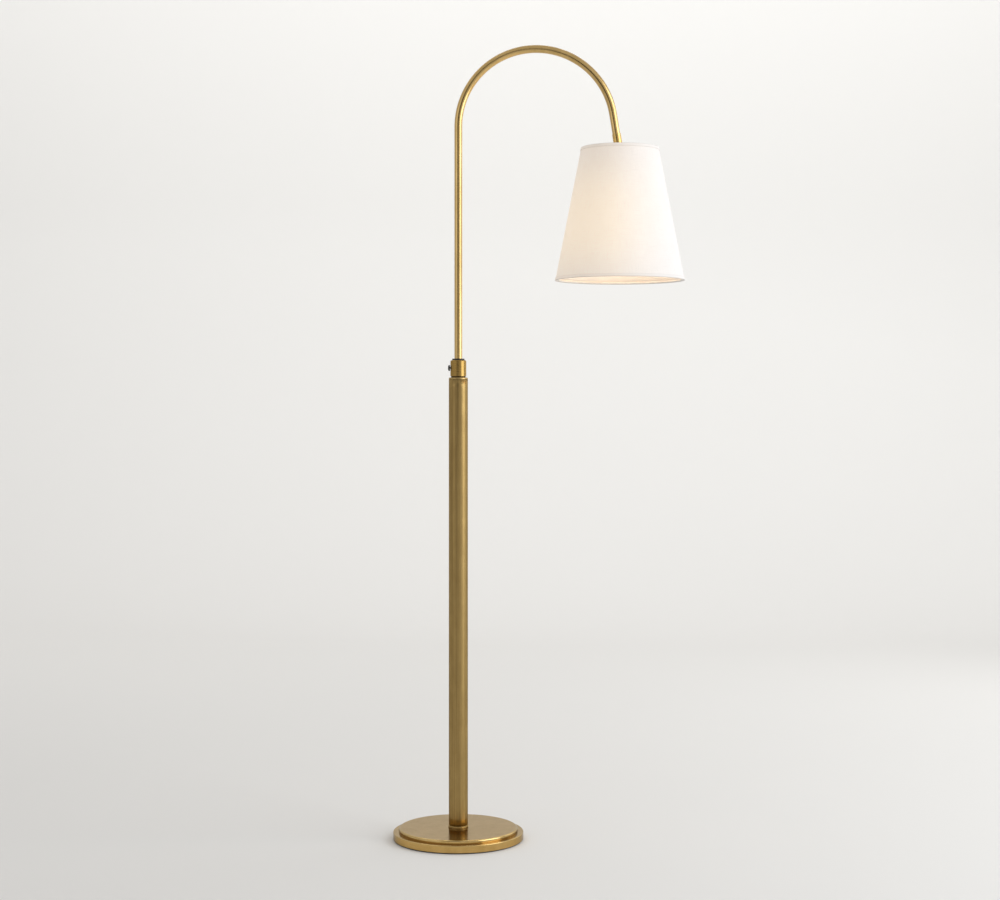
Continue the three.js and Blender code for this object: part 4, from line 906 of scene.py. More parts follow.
# %% Knob and screw
knob_low, knob_high, knob_middle = place_of("thumb_knob")
KNOB_RADIUS = knob_high[2] - knob_middle[2]
KNOB_THICKNESS = knob_high[0] - knob_low[0]
OUT_LEFT = np.array(((0, 1, 0), (0, 0, 1), (-1, 0, 0)), float)  # its own Z points to -X
mount(turned("thumb_knob_domed", [
    (0, 0, 0),
    (KNOB_RADIUS - 1.2 * MM, 0, 0.4 * MM),
    (KNOB_RADIUS, 0.9 * MM, 0.4 * MM),
    (KNOB_RADIUS, KNOB_THICKNESS - 1.6 * MM, 0.9 * MM),
    (KNOB_RADIUS - 2.2 * MM, KNOB_THICKNESS - 0.3 * MM, 1.6 * MM),
    (0, KNOB_THICKNESS, 0),
], closed=False, sides=96, axes=OUT_LEFT, origin=(knob_high[0], 0, knob_middle[2])),
    "black_enamel", "screw", "thumb_knob")


def threaded(name, radius, length, pitch, depth, start, axes, columns=48, per_pitch=12):
    """A threaded rod: radius - depth (1 - cos(2 pi z / pitch - t)) / 2 at height z and angle t.
    The thread fades out over the last tenth at each end."""
    rows = int(length / pitch * per_pitch)
    z = np.linspace(0, length, rows)[:, None]
    t = np.linspace(0, 2 * math.pi, columns, endpoint=False)[None]
    fade = np.clip(np.minimum(z, length - z) / (0.1 * length), 0, 1)
    r = radius - depth * fade * (1 - np.cos(2 * math.pi * z / pitch - t)) / 2
    side = np.stack(np.broadcast_arrays(r * np.cos(t), r * np.sin(t), z), -1)
    ends = [np.zeros((1, columns, 3)), np.full((1, columns, 3), (0, 0, length))]
    local = np.concatenate((ends[0], side, ends[1]))
    return surface(name, local @ np.array(axes) + np.array(start), local)


SCREW_PITCH, SCREW_DEPTH = 0.7 * MM, 0.3 * MM
mount(threaded("thumb_screw_threaded", SCREW_RADIUS, screw_high[0] - screw_low[0], SCREW_PITCH,
               SCREW_DEPTH, (screw_high[0], 0, screw_middle[2]), OUT_LEFT),
      "raw_brass", "screw", "thumb_screw")
PAD_EDGE = 0.15 * MM
mount(refined("clamp_pad_tip", "clamp_pad", PAD_EDGE), "raw_brass", "pad", "clamp_pad")
print("knob", round(KNOB_RADIUS * 2, 5), "across")

# %% [markdown]
# ## The arm
# The arm is one brass tube: straight up from inside the column, bent through a little over
# 170 degrees in a single radius, and straight again for a short way down to the shade. A
# free-hand curve would never be that even, so its centre line is worked out from the node's
# own box and the tilt pivot, and a tube is carried along it.

# %% Arm path
pivot = np.array(next(j["pos_m"] for j in frame["joints"] if j["name"] == "head_tilt"))
BEND_RADIUS = 155.8 * MM
BEND_ANGLE = math.radians(170.7)
ARM_WALL = 1.2 * MM
FERRULE_NEAR, FERRULE_FAR = 18.7 * MM, 42.7 * MM  # from the pivot, back along the arm
arm_bottom = arm_low[2]
bend_start = arm_high[2] - ARM_RADIUS - BEND_RADIUS
end_way = np.array((math.sin(math.pi - BEND_ANGLE), 0, -math.cos(math.pi - BEND_ANGLE)))
bend_end = np.array((BEND_RADIUS * (1 - math.cos(BEND_ANGLE)), 0,
                     bend_start + BEND_RADIUS * math.sin(BEND_ANGLE)))
PIVOT_REACH = float((pivot - bend_end) @ end_way)
ARM_END = PIVOT_REACH - FERRULE_NEAR  # the tube ends where the ferrule does


def arm_line(straight_rows=24, bend_rows=150, end_rows=8):
    """Centre line: x = 0 up to the bend, then (R - R cos a, 0, z + R sin a), then straight."""
    up = np.zeros((straight_rows, 3))
    up[:, 2] = np.linspace(arm_bottom, bend_start, straight_rows)
    a = np.linspace(0, BEND_ANGLE, bend_rows)[1:]
    bend = np.stack((BEND_RADIUS * (1 - np.cos(a)), 0 * a, bend_start + BEND_RADIUS * np.sin(a)), -1)
    tail = bend_end + np.linspace(0, ARM_END, end_rows)[1:, None] * end_way
    return np.vstack((up, bend, tail))


mount(tube("arm_drawn", arm_line(), ARM_RADIUS, sides=96, wall=ARM_WALL),
      "satin_drawn", "arm", "arm_tube")
print("arm", round(float(path_length(arm_line())[-1]), 3), "long, pivot at", round(PIVOT_REACH, 4))

# %% [markdown]
# ## The ferrule
# A short ring, slightly thicker than the arm, covers its joint with the knuckle. It leans
# with the arm's end, so it is turned about its own axis and laid along the arm by its axes.

# %% Ferrule
FERRULE_RADIUS = 8.75 * MM
FERRULE_BORE = ARM_RADIUS + FIT / 2
ALONG_END = np.array((np.cross(np.array((0, 1, 0)), -end_way), (0, 1, 0), -end_way))
mount(turned("arm_ferrule_turned", [
    (FERRULE_BORE, FERRULE_NEAR, 0),
    (FERRULE_RADIUS, FERRULE_NEAR, 0.3 * MM),
    (FERRULE_RADIUS, FERRULE_FAR, 0.35 * MM),
    (FERRULE_BORE, FERRULE_FAR, 0),
], sides=96, axes=ALONG_END, origin=pivot), "satin_turned", "arm", "arm_ferrule")
print("ferrule", round(FERRULE_RADIUS * 2, 5), "across")

# %% [markdown]
# ## The knuckle
# The shade tilts on a knuckle: a fork on the arm, a tongue on the shade's stem, and a screw
# through both with fibre washers for friction. The shapes are plain and the fits are close,
# so these are refined copies of the CAD nodes and only their edges are new.

# %% Knuckle pieces
FINE_EDGE, MILLED_EDGE = 0.12 * MM, 0.3 * MM
for node, piece_name, finish, body in (
        ("knuckle_fork", "knuckle_fork_milled", "satin_plain", "arm"),
        ("knuckle_tongue", "knuckle_tongue_milled", "satin_plain", "head"),
        ("pivot_screw", "pivot_screw_turned", "raw_brass", "arm"),
        ("pivot_washer_back", "pivot_washer_behind", "raw_brass", "arm"),
        ("pivot_washer_front", "pivot_washer_before", "raw_brass", "arm"),
        ("pivot_nut", "pivot_nut_hex", "raw_brass", "arm"),
        ("friction_washer_back", "fibre_washer_behind", "fibre", "head"),
        ("friction_washer_front", "fibre_washer_before", "fibre", "head")):
    edge = FINE_EDGE if "washer" in node else MILLED_EDGE
    mount(refined(piece_name, node, edge), finish, body, node)
print("knuckle pivot", [round(float(v), 4) for v in pivot])

# %% [markdown]
# ## The shade
# The shade is a cone of linen on a stiff lining, open at both ends. Cloth simulation would
# let it sag, which a laminated shade does not, so both layers are worked out. The cone's
# radius changes evenly with height, and each layer is the same function with its own inset.
# The cloth alone has waves of about a twentieth of a millimetre, as stretched linen does.

# %% Shade cone
hem_low, hem_high, hem_middle = place_of("shade_bottom_hem")
_, top_high, _ = place_of("shade_top_hem")
axis_x = float(hem_middle[0])  # the shade's axis crosses the arm's plane here
SHADE_BOTTOM, SHADE_TOP = float(hem_low[2]), float(top_high[2])
RIM_BOTTOM = float(hem_high[0] - axis_x)
SHADE_HEIGHT = SHADE_TOP - SHADE_BOTTOM
RIM_TOP = 78.0 * MM
SLOPE = (RIM_BOTTOM - RIM_TOP) / SHADE_HEIGHT
SHADE_SIDES = 256
CLOTH_THICKNESS = 0.6 * MM
CLOTH_INSET = 0.9 * MM
LINING_INSET = 1.9 * MM
LINING_THICKNESS = 0.9 * MM
HEM_DEPTH = 6.0 * MM
RIM_GAP = 0.8 * MM
RIPPLE = 0.05 * MM


def cone_radius(height, inset=0.0):
    """Radius of the shade's outside at a height, less an inset."""
    return RIM_BOTTOM - SLOPE * (height - SHADE_BOTTOM) - inset


def cone_layer(name, inset, thickness, bottom, top, rows=48, ripple=0.0):
    """A wall of the cone: up the outside and down the inside.
    A ripple adds waves of a fraction of a millimetre, as stretched cloth has."""
    heights = np.linspace(bottom, top, rows)
    t = math.pi / 2 + np.linspace(0, 2 * math.pi, SHADE_SIDES, endpoint=False)[None]
    h = np.concatenate((heights, heights[::-1]))[:, None]
    within = np.concatenate((np.full(rows, inset), np.full(rows, inset + thickness)))[:, None]
    middle = np.sin(np.pi * (h - bottom) / (top - bottom))
    wave = ripple * middle * (np.sin(5 * t + 1.3) + 0.6 * np.sin(9 * t + 8 * h) + 0.4 * np.sin(14 * t))
    r = cone_radius(h, within) + wave
    grid = np.stack(np.broadcast_arrays(axis_x + r * np.cos(t), r * np.sin(t), h), -1)
    piece = surface(name, grid, wrap=True)
    mean_radius = (RIM_BOTTOM + RIM_TOP) / 2
    around = np.broadcast_to((t - math.pi / 2) * mean_radius, grid.shape[:2])
    upward = np.broadcast_to((h - bottom) * math.hypot(1, SLOPE), grid.shape[:2])
    store(piece.data, "cloth", np.stack((around, upward, 0 * upward), -1).reshape(-1, 3))
    return piece


layer_ends = SHADE_BOTTOM + RIM_GAP, SHADE_TOP - RIM_GAP
shade_cloth = mount(
    cone_layer("shade_linen", CLOTH_INSET, CLOTH_THICKNESS, *layer_ends, ripple=RIPPLE),
    "white_linen", "head", "shade_fabric")
mount(cone_layer("shade_lining", LINING_INSET, LINING_THICKNESS, *layer_ends, rows=24),
      "white_styrene", "head", "shade_liner")
print("shade", round(RIM_TOP * 2, 4), "to", round(RIM_BOTTOM * 2, 4), "across,",
      round(SHADE_HEIGHT, 4), "high")

# %% [markdown]
# ## The hems
# A narrow tape of the same cloth is folded over each rim, from outside to inside, and hides
# a wire ring. Simulating the fold would give creases that a glued tape does not have, so the
# tape is an outline with eight corners turned round the shade. Both rims use the same
# function, one the right way up and one upside down.

# %% Hems
HEM_THICKNESS = 0.5 * MM
HEM_STRETCH = 0.1  # metres of cloth for each radian round the rim


def hem(name, node, rim, inward):
    """A tape folded over a rim: down outside, over the edge, and back up inside.
    inward is +1 at the bottom rim, where the tape reaches up, and -1 at the top."""
    deep = rim + inward * HEM_DEPTH
    over = rim + inward * HEM_THICKNESS
    inside = LINING_INSET + LINING_THICKNESS + FIT
    corners = [
        (cone_radius(deep), deep, 0.2 * MM),
        (cone_radius(rim), rim, 0.45 * MM),
        (cone_radius(rim, inside + HEM_THICKNESS), rim, 0.45 * MM),
        (cone_radius(deep, inside + HEM_THICKNESS), deep, 0.2 * MM),
        (cone_radius(deep, inside), deep, 0.2 * MM),
        (cone_radius(over, inside), over, 0),
        (cone_radius(over, HEM_THICKNESS), over, 0),
        (cone_radius(deep, HEM_THICKNESS), deep, 0.2 * MM),
    ]
    piece = turned(name, corners, centre=(axis_x, 0), sides=SHADE_SIDES)
    grain = np.empty(len(piece.data.vertices) * 3, np.float32)
    piece.data.attributes["grain"].data.foreach_get("vector", grain)
    grain = grain.reshape(-1, 3)
    angle = np.arctan2(grain[:, 1], grain[:, 0])
    store(piece.data, "cloth", np.stack((angle * HEM_STRETCH, grain[:, 2], 0 * angle), -1))
    return mount(piece, "linen_edge", "head", node)


bottom_hem = hem("shade_hem_bottom", "shade_bottom_hem", SHADE_BOTTOM, 1)
top_hem = hem("shade_hem_top", "shade_top_hem", SHADE_TOP, -1)
print("hems", HEM_DEPTH, "deep")

# %% [markdown]
# ## The lapped seam
# The cloth goes once round and laps over itself at the back, where a straight glued seam
# runs from hem to hem. A seam could be a bump in the finish, but its edge shows from the
# side, so it is a thin strip of its own, with the cone's curve and the cloth's weave.

# %% Lapped seam
LAP_WIDTH = 12 * MM
LAP_PROUD = 0.45 * MM
LAP_MARGIN = 0.4 * MM  # from each hem
LAP_OUTSIDE, LAP_INSIDE = 0.02 * MM, 0.2 * MM  # out and in from the cloth's outer face
LAP_EDGE = 1 / 3  # share of the width over which it thickens


def lap_strip(name):
    """The edge of the cloth glued over itself: a strip of a few degrees of the cone at the
    back, standing LAP_PROUD off the cloth and thinning to nothing at its hidden side."""
    short = HEM_DEPTH + LAP_MARGIN
    heights = np.linspace(SHADE_BOTTOM + short, SHADE_TOP - short, 40)[:, None]
    across = np.linspace(0, 1, 14)[None]
    half = LAP_WIDTH / cone_radius(heights) / 2
    t = math.pi / 2 - half + 2 * half * across
    outer = (cone_radius(heights, CLOTH_INSET - LAP_OUTSIDE)
             + LAP_PROUD * np.clip(across / LAP_EDGE, 0.0, 1.0))
    inner = cone_radius(heights, CLOTH_INSET + LAP_INSIDE)
    front, back = (np.stack(np.broadcast_arrays(axis_x + r * np.cos(t), r * np.sin(t), heights), -1)
                   for r in (outer, inner))
    loop = np.concatenate((front, back[:, ::-1]), axis=1)
    ends = [np.broadcast_to(loop[i].mean(axis=0), (1, loop.shape[1], 3)) for i in (0, -1)]
    piece = surface(name, np.concatenate((ends[0], loop, ends[1])))
    points = np.empty(len(piece.data.vertices) * 3)
    piece.data.vertices.foreach_get("co", points)
    points = points.reshape(-1, 3)
    store(piece.data, "cloth", np.stack((points[:, 0], points[:, 2], 0 * points[:, 0]), -1))
    return piece


lap = mount(lap_strip("shade_lap_seam"), "white_linen", "head", slot="white_linen")
print("lap", LAP_WIDTH, "wide")

# %% [markdown]

# %% [markdown]
# ## The wires that hold the shade
# A hub clamps to the shade's stem. Three wires leave it, level at first, then rise in a
# curve to a ring inside the top rim. A second ring stiffens the bottom rim. The wires are
# white enamelled, and each is a tube carried along a curve of three points, which bends as
# evenly as a wire does. The hub, the arms and the top ring are welded, so they are one piece.

# %% Spider and rings
spider_low, spider_high, _ = place_of("shade_spider")
WIRE_RADIUS = 1.6 * MM
ARM_WIRE_RADIUS = 1.5 * MM
HUB_RADIUS = 12.0 * MM
HUB_THICKNESS = 2.0 * MM
HUB_HOLE = 5.15 * MM
LEVEL_PART = 2 * WIRE_RADIUS, 6 * WIRE_RADIUS  # where an arm's curve starts and first turns
top_ring_height = spider_high[2] - WIRE_RADIUS
top_ring_radius = (spider_high[1] - spider_low[1]) / 2 - WIRE_RADIUS
hub_bottom = spider_low[2]
hub_middle = hub_bottom + HUB_THICKNESS / 2


def wire_ring(name, radius, height, rows=160):
    """A round wire bent into a level circle about the shade's axis."""
    t = np.linspace(0, 2 * math.pi, rows, endpoint=False)
    path = np.stack((axis_x + radius * np.cos(t), radius * np.sin(t), 0 * t + height), -1)
    return tube(name, path, WIRE_RADIUS, sides=16, wrap=True, side=(0, 0, 1))


def spider_arm(name, turn):
    """A wire: level out of the hub, then (1 - s)^2 a + 2 s (1 - s) b + s^2 c up to the ring."""
    a, b = (HUB_RADIUS + out for out in LEVEL_PART)
    s = np.linspace(0, 1, 28)[:, None]
    points = np.array(((a, hub_middle), (b, hub_middle), (top_ring_radius, top_ring_height)))
    curve = (1 - s) ** 2 * points[0] + 2 * s * (1 - s) * points[1] + s ** 2 * points[2]
    start = np.array(((HUB_RADIUS - WIRE_RADIUS, hub_middle), (HUB_RADIUS, hub_middle)))
    line = np.vstack((start, curve))
    cosine, sine = math.cos(turn), math.sin(turn)
    path = np.stack((axis_x + line[:, 0] * cosine, line[:, 0] * sine, line[:, 1]), -1)
    return tube(name, path, ARM_WIRE_RADIUS, sides=16, side=(-sine, cosine, 0))


hub = turned("hub", [
    (HUB_HOLE, hub_bottom, 0.2 * MM),
    (HUB_RADIUS, hub_bottom, 0.4 * MM),
    (HUB_RADIUS, hub_bottom + HUB_THICKNESS, 0.4 * MM),
    (HUB_HOLE, hub_bottom + HUB_THICKNESS, 0.2 * MM),
], centre=(axis_x, 0), sides=64)
arms = [spider_arm(f"wire{i}", 2 * math.pi * i / 3 + math.pi / 2) for i in range(3)]
top_ring = wire_ring("ring", top_ring_radius, top_ring_height)
mount(together("shade_spider_wires", hub, top_ring, *arms), "white_enamel", "head", "shade_spider")

ring_low, ring_high, _ = place_of("shade_bottom_ring")
mount(wire_ring("shade_ring_wire", (ring_high[1] - ring_low[1]) / 2 - WIRE_RADIUS,
                (ring_low[2] + ring_high[2]) / 2), "white_enamel", "head", "shade_bottom_ring")
print("rings at", round(float(top_ring_height), 4), "and", round(float(ring_low[2]), 4))

# %% [markdown]
# ## The lampholder
# Below the hub hang the locknut and the lampholder: a domed brass cap, a brass shell with
# two pressed beads, and inside them a fibre sleeve, a black core and a threaded shell for
# the bulb. Pressed brass has soft corners, so the outlines have wide roundings. Each bead is
# three corners, added by a loop.

# %% Lampholder cap and shell
hcap_low, hcap_high, _ = place_of("lampholder_cap")
shell_low, shell_high, _ = place_of("lampholder_shell")
HOLDER_WALL = 0.8 * MM
CAP_RADIUS = hcap_high[1]
NECK_RADIUS = 7.15 * MM
NECK_BORE = 5.15 * MM
SKIRT, NECK = 8 * MM, 8 * MM  # heights of the straight parts below and above the dome
skirt_top = hcap_low[2] + SKIRT
dome_top = hcap_high[2] - NECK
mount(turned("lampholder_dome", [
    (CAP_RADIUS - HOLDER_WALL, hcap_low[2], 0.2 * MM),
    (CAP_RADIUS, hcap_low[2], 0.3 * MM),
    (CAP_RADIUS, skirt_top, 3.0 * MM),
    (NECK_RADIUS + 3.5 * MM, dome_top - 1.5 * MM, 4.0 * MM),
    (NECK_RADIUS, dome_top, 1.2 * MM),
    (NECK_RADIUS, hcap_high[2], 0.5 * MM),
    (NECK_BORE, hcap_high[2], 0.3 * MM),
    (NECK_BORE, dome_top - 1.2 * MM, 0),
    (NECK_RADIUS + 2.6 * MM, dome_top - 2.6 * MM, 0),
    (CAP_RADIUS - HOLDER_WALL, skirt_top - 2.0 * MM, 1.0 * MM),
], centre=(axis_x, 0), sides=96), "raw_brass", "head", "lampholder_cap")

SHELL_WALL = 0.6 * MM
SHELL_RADIUS = shell_high[1]
BEAD, BEAD_HALF = 0.5 * MM, 1.2 * MM
BEAD_HEIGHTS = 6 * MM, 26 * MM  # above the shell's foot
plain = SHELL_RADIUS - BEAD
shell_outline = [(plain - SHELL_WALL, shell_low[2], 0.15 * MM), (plain, shell_low[2], 0.2 * MM)]
for height in BEAD_HEIGHTS:
    bead = shell_low[2] + height
    shell_outline += [(plain, bead - BEAD_HALF, 0.6 * MM),
                      (SHELL_RADIUS, bead, 0.8 * MM),
                      (plain, bead + BEAD_HALF, 0.6 * MM)]
shell_outline += [(plain, shell_high[2], 0.2 * MM), (plain - SHELL_WALL, shell_high[2], 0.15 * MM)]
shell = turned("lampholder_shell_beaded", shell_outline, centre=(axis_x, 0), sides=96)
key_low, key_high, _ = place_of("switch_key")
shaft_low, shaft_high, shaft_middle = place_of("switch_shaft")
SHAFT_RADIUS = (shaft_high[2] - shaft_low[2]) / 2
SHAFT_CLEARANCE = 0.4 * MM
DRILL_FROM, DRILL_TO = -20 * MM, -10 * MM  # from the front, through one side of the shell
drilled(shell, (axis_x, DRILL_FROM, shaft_middle[2]), (axis_x, DRILL_TO, shaft_middle[2]),
        SHAFT_RADIUS + SHAFT_CLEARANCE)
mount(shell, "raw_brass", "head", "lampholder_shell")
print("lampholder", round(SHELL_RADIUS * 2, 4), "across")

# %% [markdown]
# ## The bulb
# The globe is a circle up to its join, and a cubic curve leads from there into the neck with
# no kink, because a sphere pushed into a cylinder would show a line. The cap's thread is the
# function that made the thumb screw, with a wider pitch.

# %% Bulb and its cap
bcap_low, bcap_high, _ = place_of("bulb_cap")
BCAP_RADIUS = bcap_high[1]
CAP_PITCH, CAP_DEPTH = 3.6 * MM, 1.6 * MM
GLOBE_SHARE = 1.62  # height of the globe's join, in globe radii
NECK_INSET = 0.5 * MM
ON_AXIS = 1e-7  # a radius below this is zero
mount(threaded("bulb_cap_threaded", BCAP_RADIUS, bcap_high[2] - bcap_low[2], CAP_PITCH, CAP_DEPTH,
               (axis_x, 0, bcap_low[2]), UPRIGHT, columns=64, per_pitch=14),
      "zinc_steel", "head", "bulb_cap")


def bulb_outline(rows=56):
    """A globe that runs into a neck. Below the join: r = sqrt(R^2 - (h - R)^2).
    Above it, a cubic from the globe's slope to an upright neck."""
    radius, length, neck = BULB_RADIUS, bulb_high[2] - bulb_low[2], BCAP_RADIUS - NECK_INSET
    join = GLOBE_SHARE * radius
    a = np.linspace(0, math.acos(1 - join / radius), rows)
    globe = np.stack((radius * np.sin(a), radius * (1 - np.cos(a))), -1)
    r0, slope = globe[-1, 0], -(join - radius) / globe[-1, 0]
    s = np.linspace(0, 1, 22)[1:]
    span = length - join
    r = ((2 * s ** 3 - 3 * s ** 2 + 1) * r0 + (s ** 3 - 2 * s ** 2 + s) * slope * span
         + (3 * s ** 2 - 2 * s ** 3) * neck)
    return np.vstack((globe, np.stack((r, join + s * span), -1)))


def bulb(name, wall=0.8 * MM, columns=96):
    """The glass: its outline turned, then back down inside at one wall's thickness."""
    outside = bulb_outline()
    inside = outside * (1 - wall / BULB_RADIUS) + np.array((0, wall))
    inside[-1, 1] = outside[-1, 1]
    profile = np.vstack((outside, inside[::-1]))
    profile[:, 0] = np.where(profile[:, 0] < ON_AXIS, 0, profile[:, 0])
    t = np.linspace(0, 2 * math.pi, columns, endpoint=False)
    r, h = profile[:, :1], profile[:, 1:]
    rows = np.stack(np.broadcast_arrays(axis_x + r * np.cos(t), r * np.sin(t), bulb_low[2] + h), -1)
    return surface(name, rows)


glass = mount(bulb("bulb_globe"), "opal_glass", "head", "bulb_glass")
glass.visible_shadow = False
print("bulb", round(BULB_RADIUS * 2, 4), "across, globe at", round(float(GLOBE_HEIGHT), 4))

# %% [markdown]
# ## The key
# A small black key at the front turns the light on. It is a moulded paddle, rounder than a
# bevelled box and flatter than a ball. A superellipsoid lies between the two, and a dip
# round its middle makes the hollows for finger and thumb.

# %% Switch key and shaft
OUT_FRONT = np.array(((1, 0, 0), (0, 0, 1), (0, -1, 0)), float)  # its own Z points to -Y


def paddle(name, low, high, rows=40, columns=64, squareness=0.32, waist=0.16, waist_width=0.55):
    """A rounded flat key: a superellipsoid, whose sines and cosines are raised to a power
    below 1 to square it up, with shallow hollows for the finger and thumb."""
    middle, half = (low + high) / 2, (high - low) / 2
    v = np.linspace(-math.pi / 2, math.pi / 2, rows)[:, None]
    u = np.linspace(0, 2 * math.pi, columns, endpoint=False)[None]

    def power(wave):
        return np.sign(wave) * np.abs(wave) ** squareness

    x = power(np.cos(v)) * power(np.cos(u))
    z = power(np.cos(v)) * power(np.sin(u))
    y = power(np.sin(v)) + 0 * u
    z = z * (1 - waist * np.exp(-(x / waist_width) ** 2))
    cube = np.stack(np.broadcast_arrays(x, y, z), -1)
    cube[0], cube[-1] = (0, -1, 0), (0, 1, 0)
    return surface(name, middle + half * cube)


mount(paddle("switch_key_moulded", key_low, key_high), "black_phenolic", "switch", "switch_key")
shaft_length = shaft_high[1] - shaft_low[1]
mount(turned("switch_shaft_turned", [
    (0, 0, 0),
    (SHAFT_RADIUS, 0, 0.2 * MM),
    (SHAFT_RADIUS, shaft_length, 0.2 * MM),
    (0, shaft_length, 0),
], closed=False, sides=32, axes=OUT_FRONT, origin=(axis_x, shaft_high[1], shaft_middle[2])),
    "raw_brass", "switch", "switch_shaft")
print("key", [round(float(v), 4) for v in key_high - key_low])

# %% [markdown]
# ## Other fittings in the head
# The nut, the stem and the lampholder's inner pieces are small, exact and mostly hidden, so
# they are refined copies of their CAD nodes, like the knuckle.

# %% Other fittings in the head
for node, piece_name, finish in (
        ("shade_locknut", "shade_locknut_hex", "raw_brass"),
        ("head_stem", "head_stem_rod", "zinc_steel"),
        ("lampholder_core", "lampholder_core_moulded", "black_phenolic"),
        ("lampholder_paper", "lampholder_paper_sleeve", "fibre"),
        ("screw_shell", "screw_shell_pressed", "raw_brass"),
        ("centre_contact", "centre_contact_tongue", "raw_brass"),
        ("terminal_screw_right", "terminal_screw_brass", "raw_brass"),
        ("terminal_screw_left", "terminal_screw_plated", "zinc_steel"),
        ("bulb_contact", "bulb_contact_tip", "zinc_steel")):
    mount(refined(piece_name, node, FINE_EDGE), finish, "head", node)

# %% [markdown]
# ## The lead at the knuckle
# The lead runs inside the base, the column and the arm. It shows only at the knuckle, where
# it leaves the fork, loops behind the pivot and goes into the tongue. Riding on one body, it
# would tear away from the other when the shade tilts, so it is one tube that rides on neither
# body and stays where it is drawn.

# %% Lead at the knuckle
LEAD_RADIUS = 2.0 * MM
FORK_HOLE, TONGUE_HOLE = 13.8 * MM, 14.35 * MM  # from the pivot, up the fork and down the tongue
LEAD_IN, LEAD_OUT = 5.0 * MM, 11.5 * MM  # from the middle plane, inside and just outside a hole
CORNER_IN, CORNER_ON = 1.5 * MM, 4.5 * MM  # how the loop rounds its two corners
LEAN = 0.3 * MM
_, lead_high, _ = place_of("head_lead")
fork_mouth = pivot - end_way * FORK_HOLE
tongue_mouth = np.array((pivot[0], 0, pivot[2] - TONGUE_HOLE))
loop_out = lead_high[1] - LEAD_RADIUS


def eased(points, per_stretch=14):
    """A smooth line through points: a Catmull-Rom curve, sampled evenly in its parameter."""
    p = np.asarray(points, float)
    padded = np.vstack((2 * p[0] - p[1], p, 2 * p[-1] - p[-2]))
    s = np.linspace(0, 1, per_stretch, endpoint=False)[None, :, None]
    a, b, c, d = (padded[i:len(p) - 1 + i][:, None] for i in range(4))
    line = 0.5 * (2 * b + (c - a) * s + (2 * a - 5 * b + 4 * c - d) * s ** 2
                  + (3 * b - a - 3 * c + d) * s ** 3)
    return np.vstack((line.reshape(-1, 3), p[-1:]))


lead_line = eased([
    (fork_mouth[0], LEAD_IN, fork_mouth[2]),
    (fork_mouth[0], LEAD_OUT, fork_mouth[2]),
    (fork_mouth[0] + LEAN, loop_out - CORNER_IN, fork_mouth[2] - CORNER_ON),
    ((fork_mouth[0] + tongue_mouth[0]) / 2, loop_out, (fork_mouth[2] + tongue_mouth[2]) / 2),
    (tongue_mouth[0] - LEAN, loop_out - CORNER_IN, tongue_mouth[2] + CORNER_ON),
    (tongue_mouth[0], LEAD_OUT, tongue_mouth[2]),
    (tongue_mouth[0], LEAD_IN, tongue_mouth[2]),
])
knuckle_lead = mount(tube("knuckle_lead_loop", lead_line, LEAD_RADIUS, sides=20, side=(1, 0, 0)),
                     "lead_vinyl", None, "head_lead")
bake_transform(knuckle_lead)
print("lead loop", round(float(path_length(lead_line)[-1]), 4), "long")

# %% [markdown]
# ## The slack lead in the column
# When the arm slides down, the lead below it has to go somewhere, so it hangs in slack waves
# inside the column. Simulating a cord inside a tube would be slow and never be seen, so its
# waves are a sine and a cosine that fade at both ends.

# %% Slack lead in the column
LEAD_WAVES, LEAD_SWAY = 4, 5.0 * MM
slack_low, slack_high, _ = place_of("column_lead")
slack_rise = float(slack_high[2] - slack_low[2])


def slack_line(rows=140):
    """A slack lead in a tube: sway sin(pi t) (sin, cos)(2 pi waves t), rising evenly with t."""
    t = np.linspace(0, 1, rows)
    sway, phase = LEAD_SWAY * np.sin(np.pi * t), 2 * np.pi * LEAD_WAVES * t
    return np.stack((sway * np.sin(phase), sway * np.cos(phase), slack_low[2] + slack_rise * t), -1)


slack_lead = mount(tube("column_lead_slack", slack_line(), LEAD_RADIUS, sides=12),
                   "lead_vinyl", "stand", "column_lead")
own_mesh(slack_lead)
print("slack lead rises", round(slack_rise, 3))

# %% [markdown]
# ## The gland
# At the back of the base is the black bushing where the supply lead would come in. It is
# turned about an axis that points backwards, with a flange outside the cover.

# %% Gland
gland_low, gland_high, gland_middle = place_of("cord_gland")
GLAND_FLANGE = 1.5 * MM
GLAND_BODY = 4.4 * MM
GLAND_BORE = 2.3 * MM
gland_length = gland_high[1] - gland_low[1]
OUT_BACK = np.array(((1, 0, 0), (0, 0, -1), (0, 1, 0)), float)  # its own Z points to +Y
mount(turned("supply_gland", [
    (GLAND_BORE, 0, 0.2 * MM),
    (GLAND_BODY, 0, 0.3 * MM),
    (GLAND_BODY, gland_length - GLAND_FLANGE, 0),
    (gland_high[0], gland_length - GLAND_FLANGE, 0.2 * MM),
    (gland_high[0], gland_length, 0.6 * MM),
    (GLAND_BORE, gland_length, 0.5 * MM),
], sides=64, axes=OUT_BACK, origin=(0, gland_low[1], gland_middle[2])),
    "black_nylon", "stand", "cord_gland")
print("gland", round(gland_high[0] * 2, 4), "across")

# %% [markdown]
# ## What stays from the CAD
# The iron weight, the threaded stem with its nut and washers, the clip, the glide and the
# other hidden leads keep their CAD shapes, since nobody sees them unless the lamp is taken
# apart. Each still takes the finish of its slot, in a loop over all the nodes.

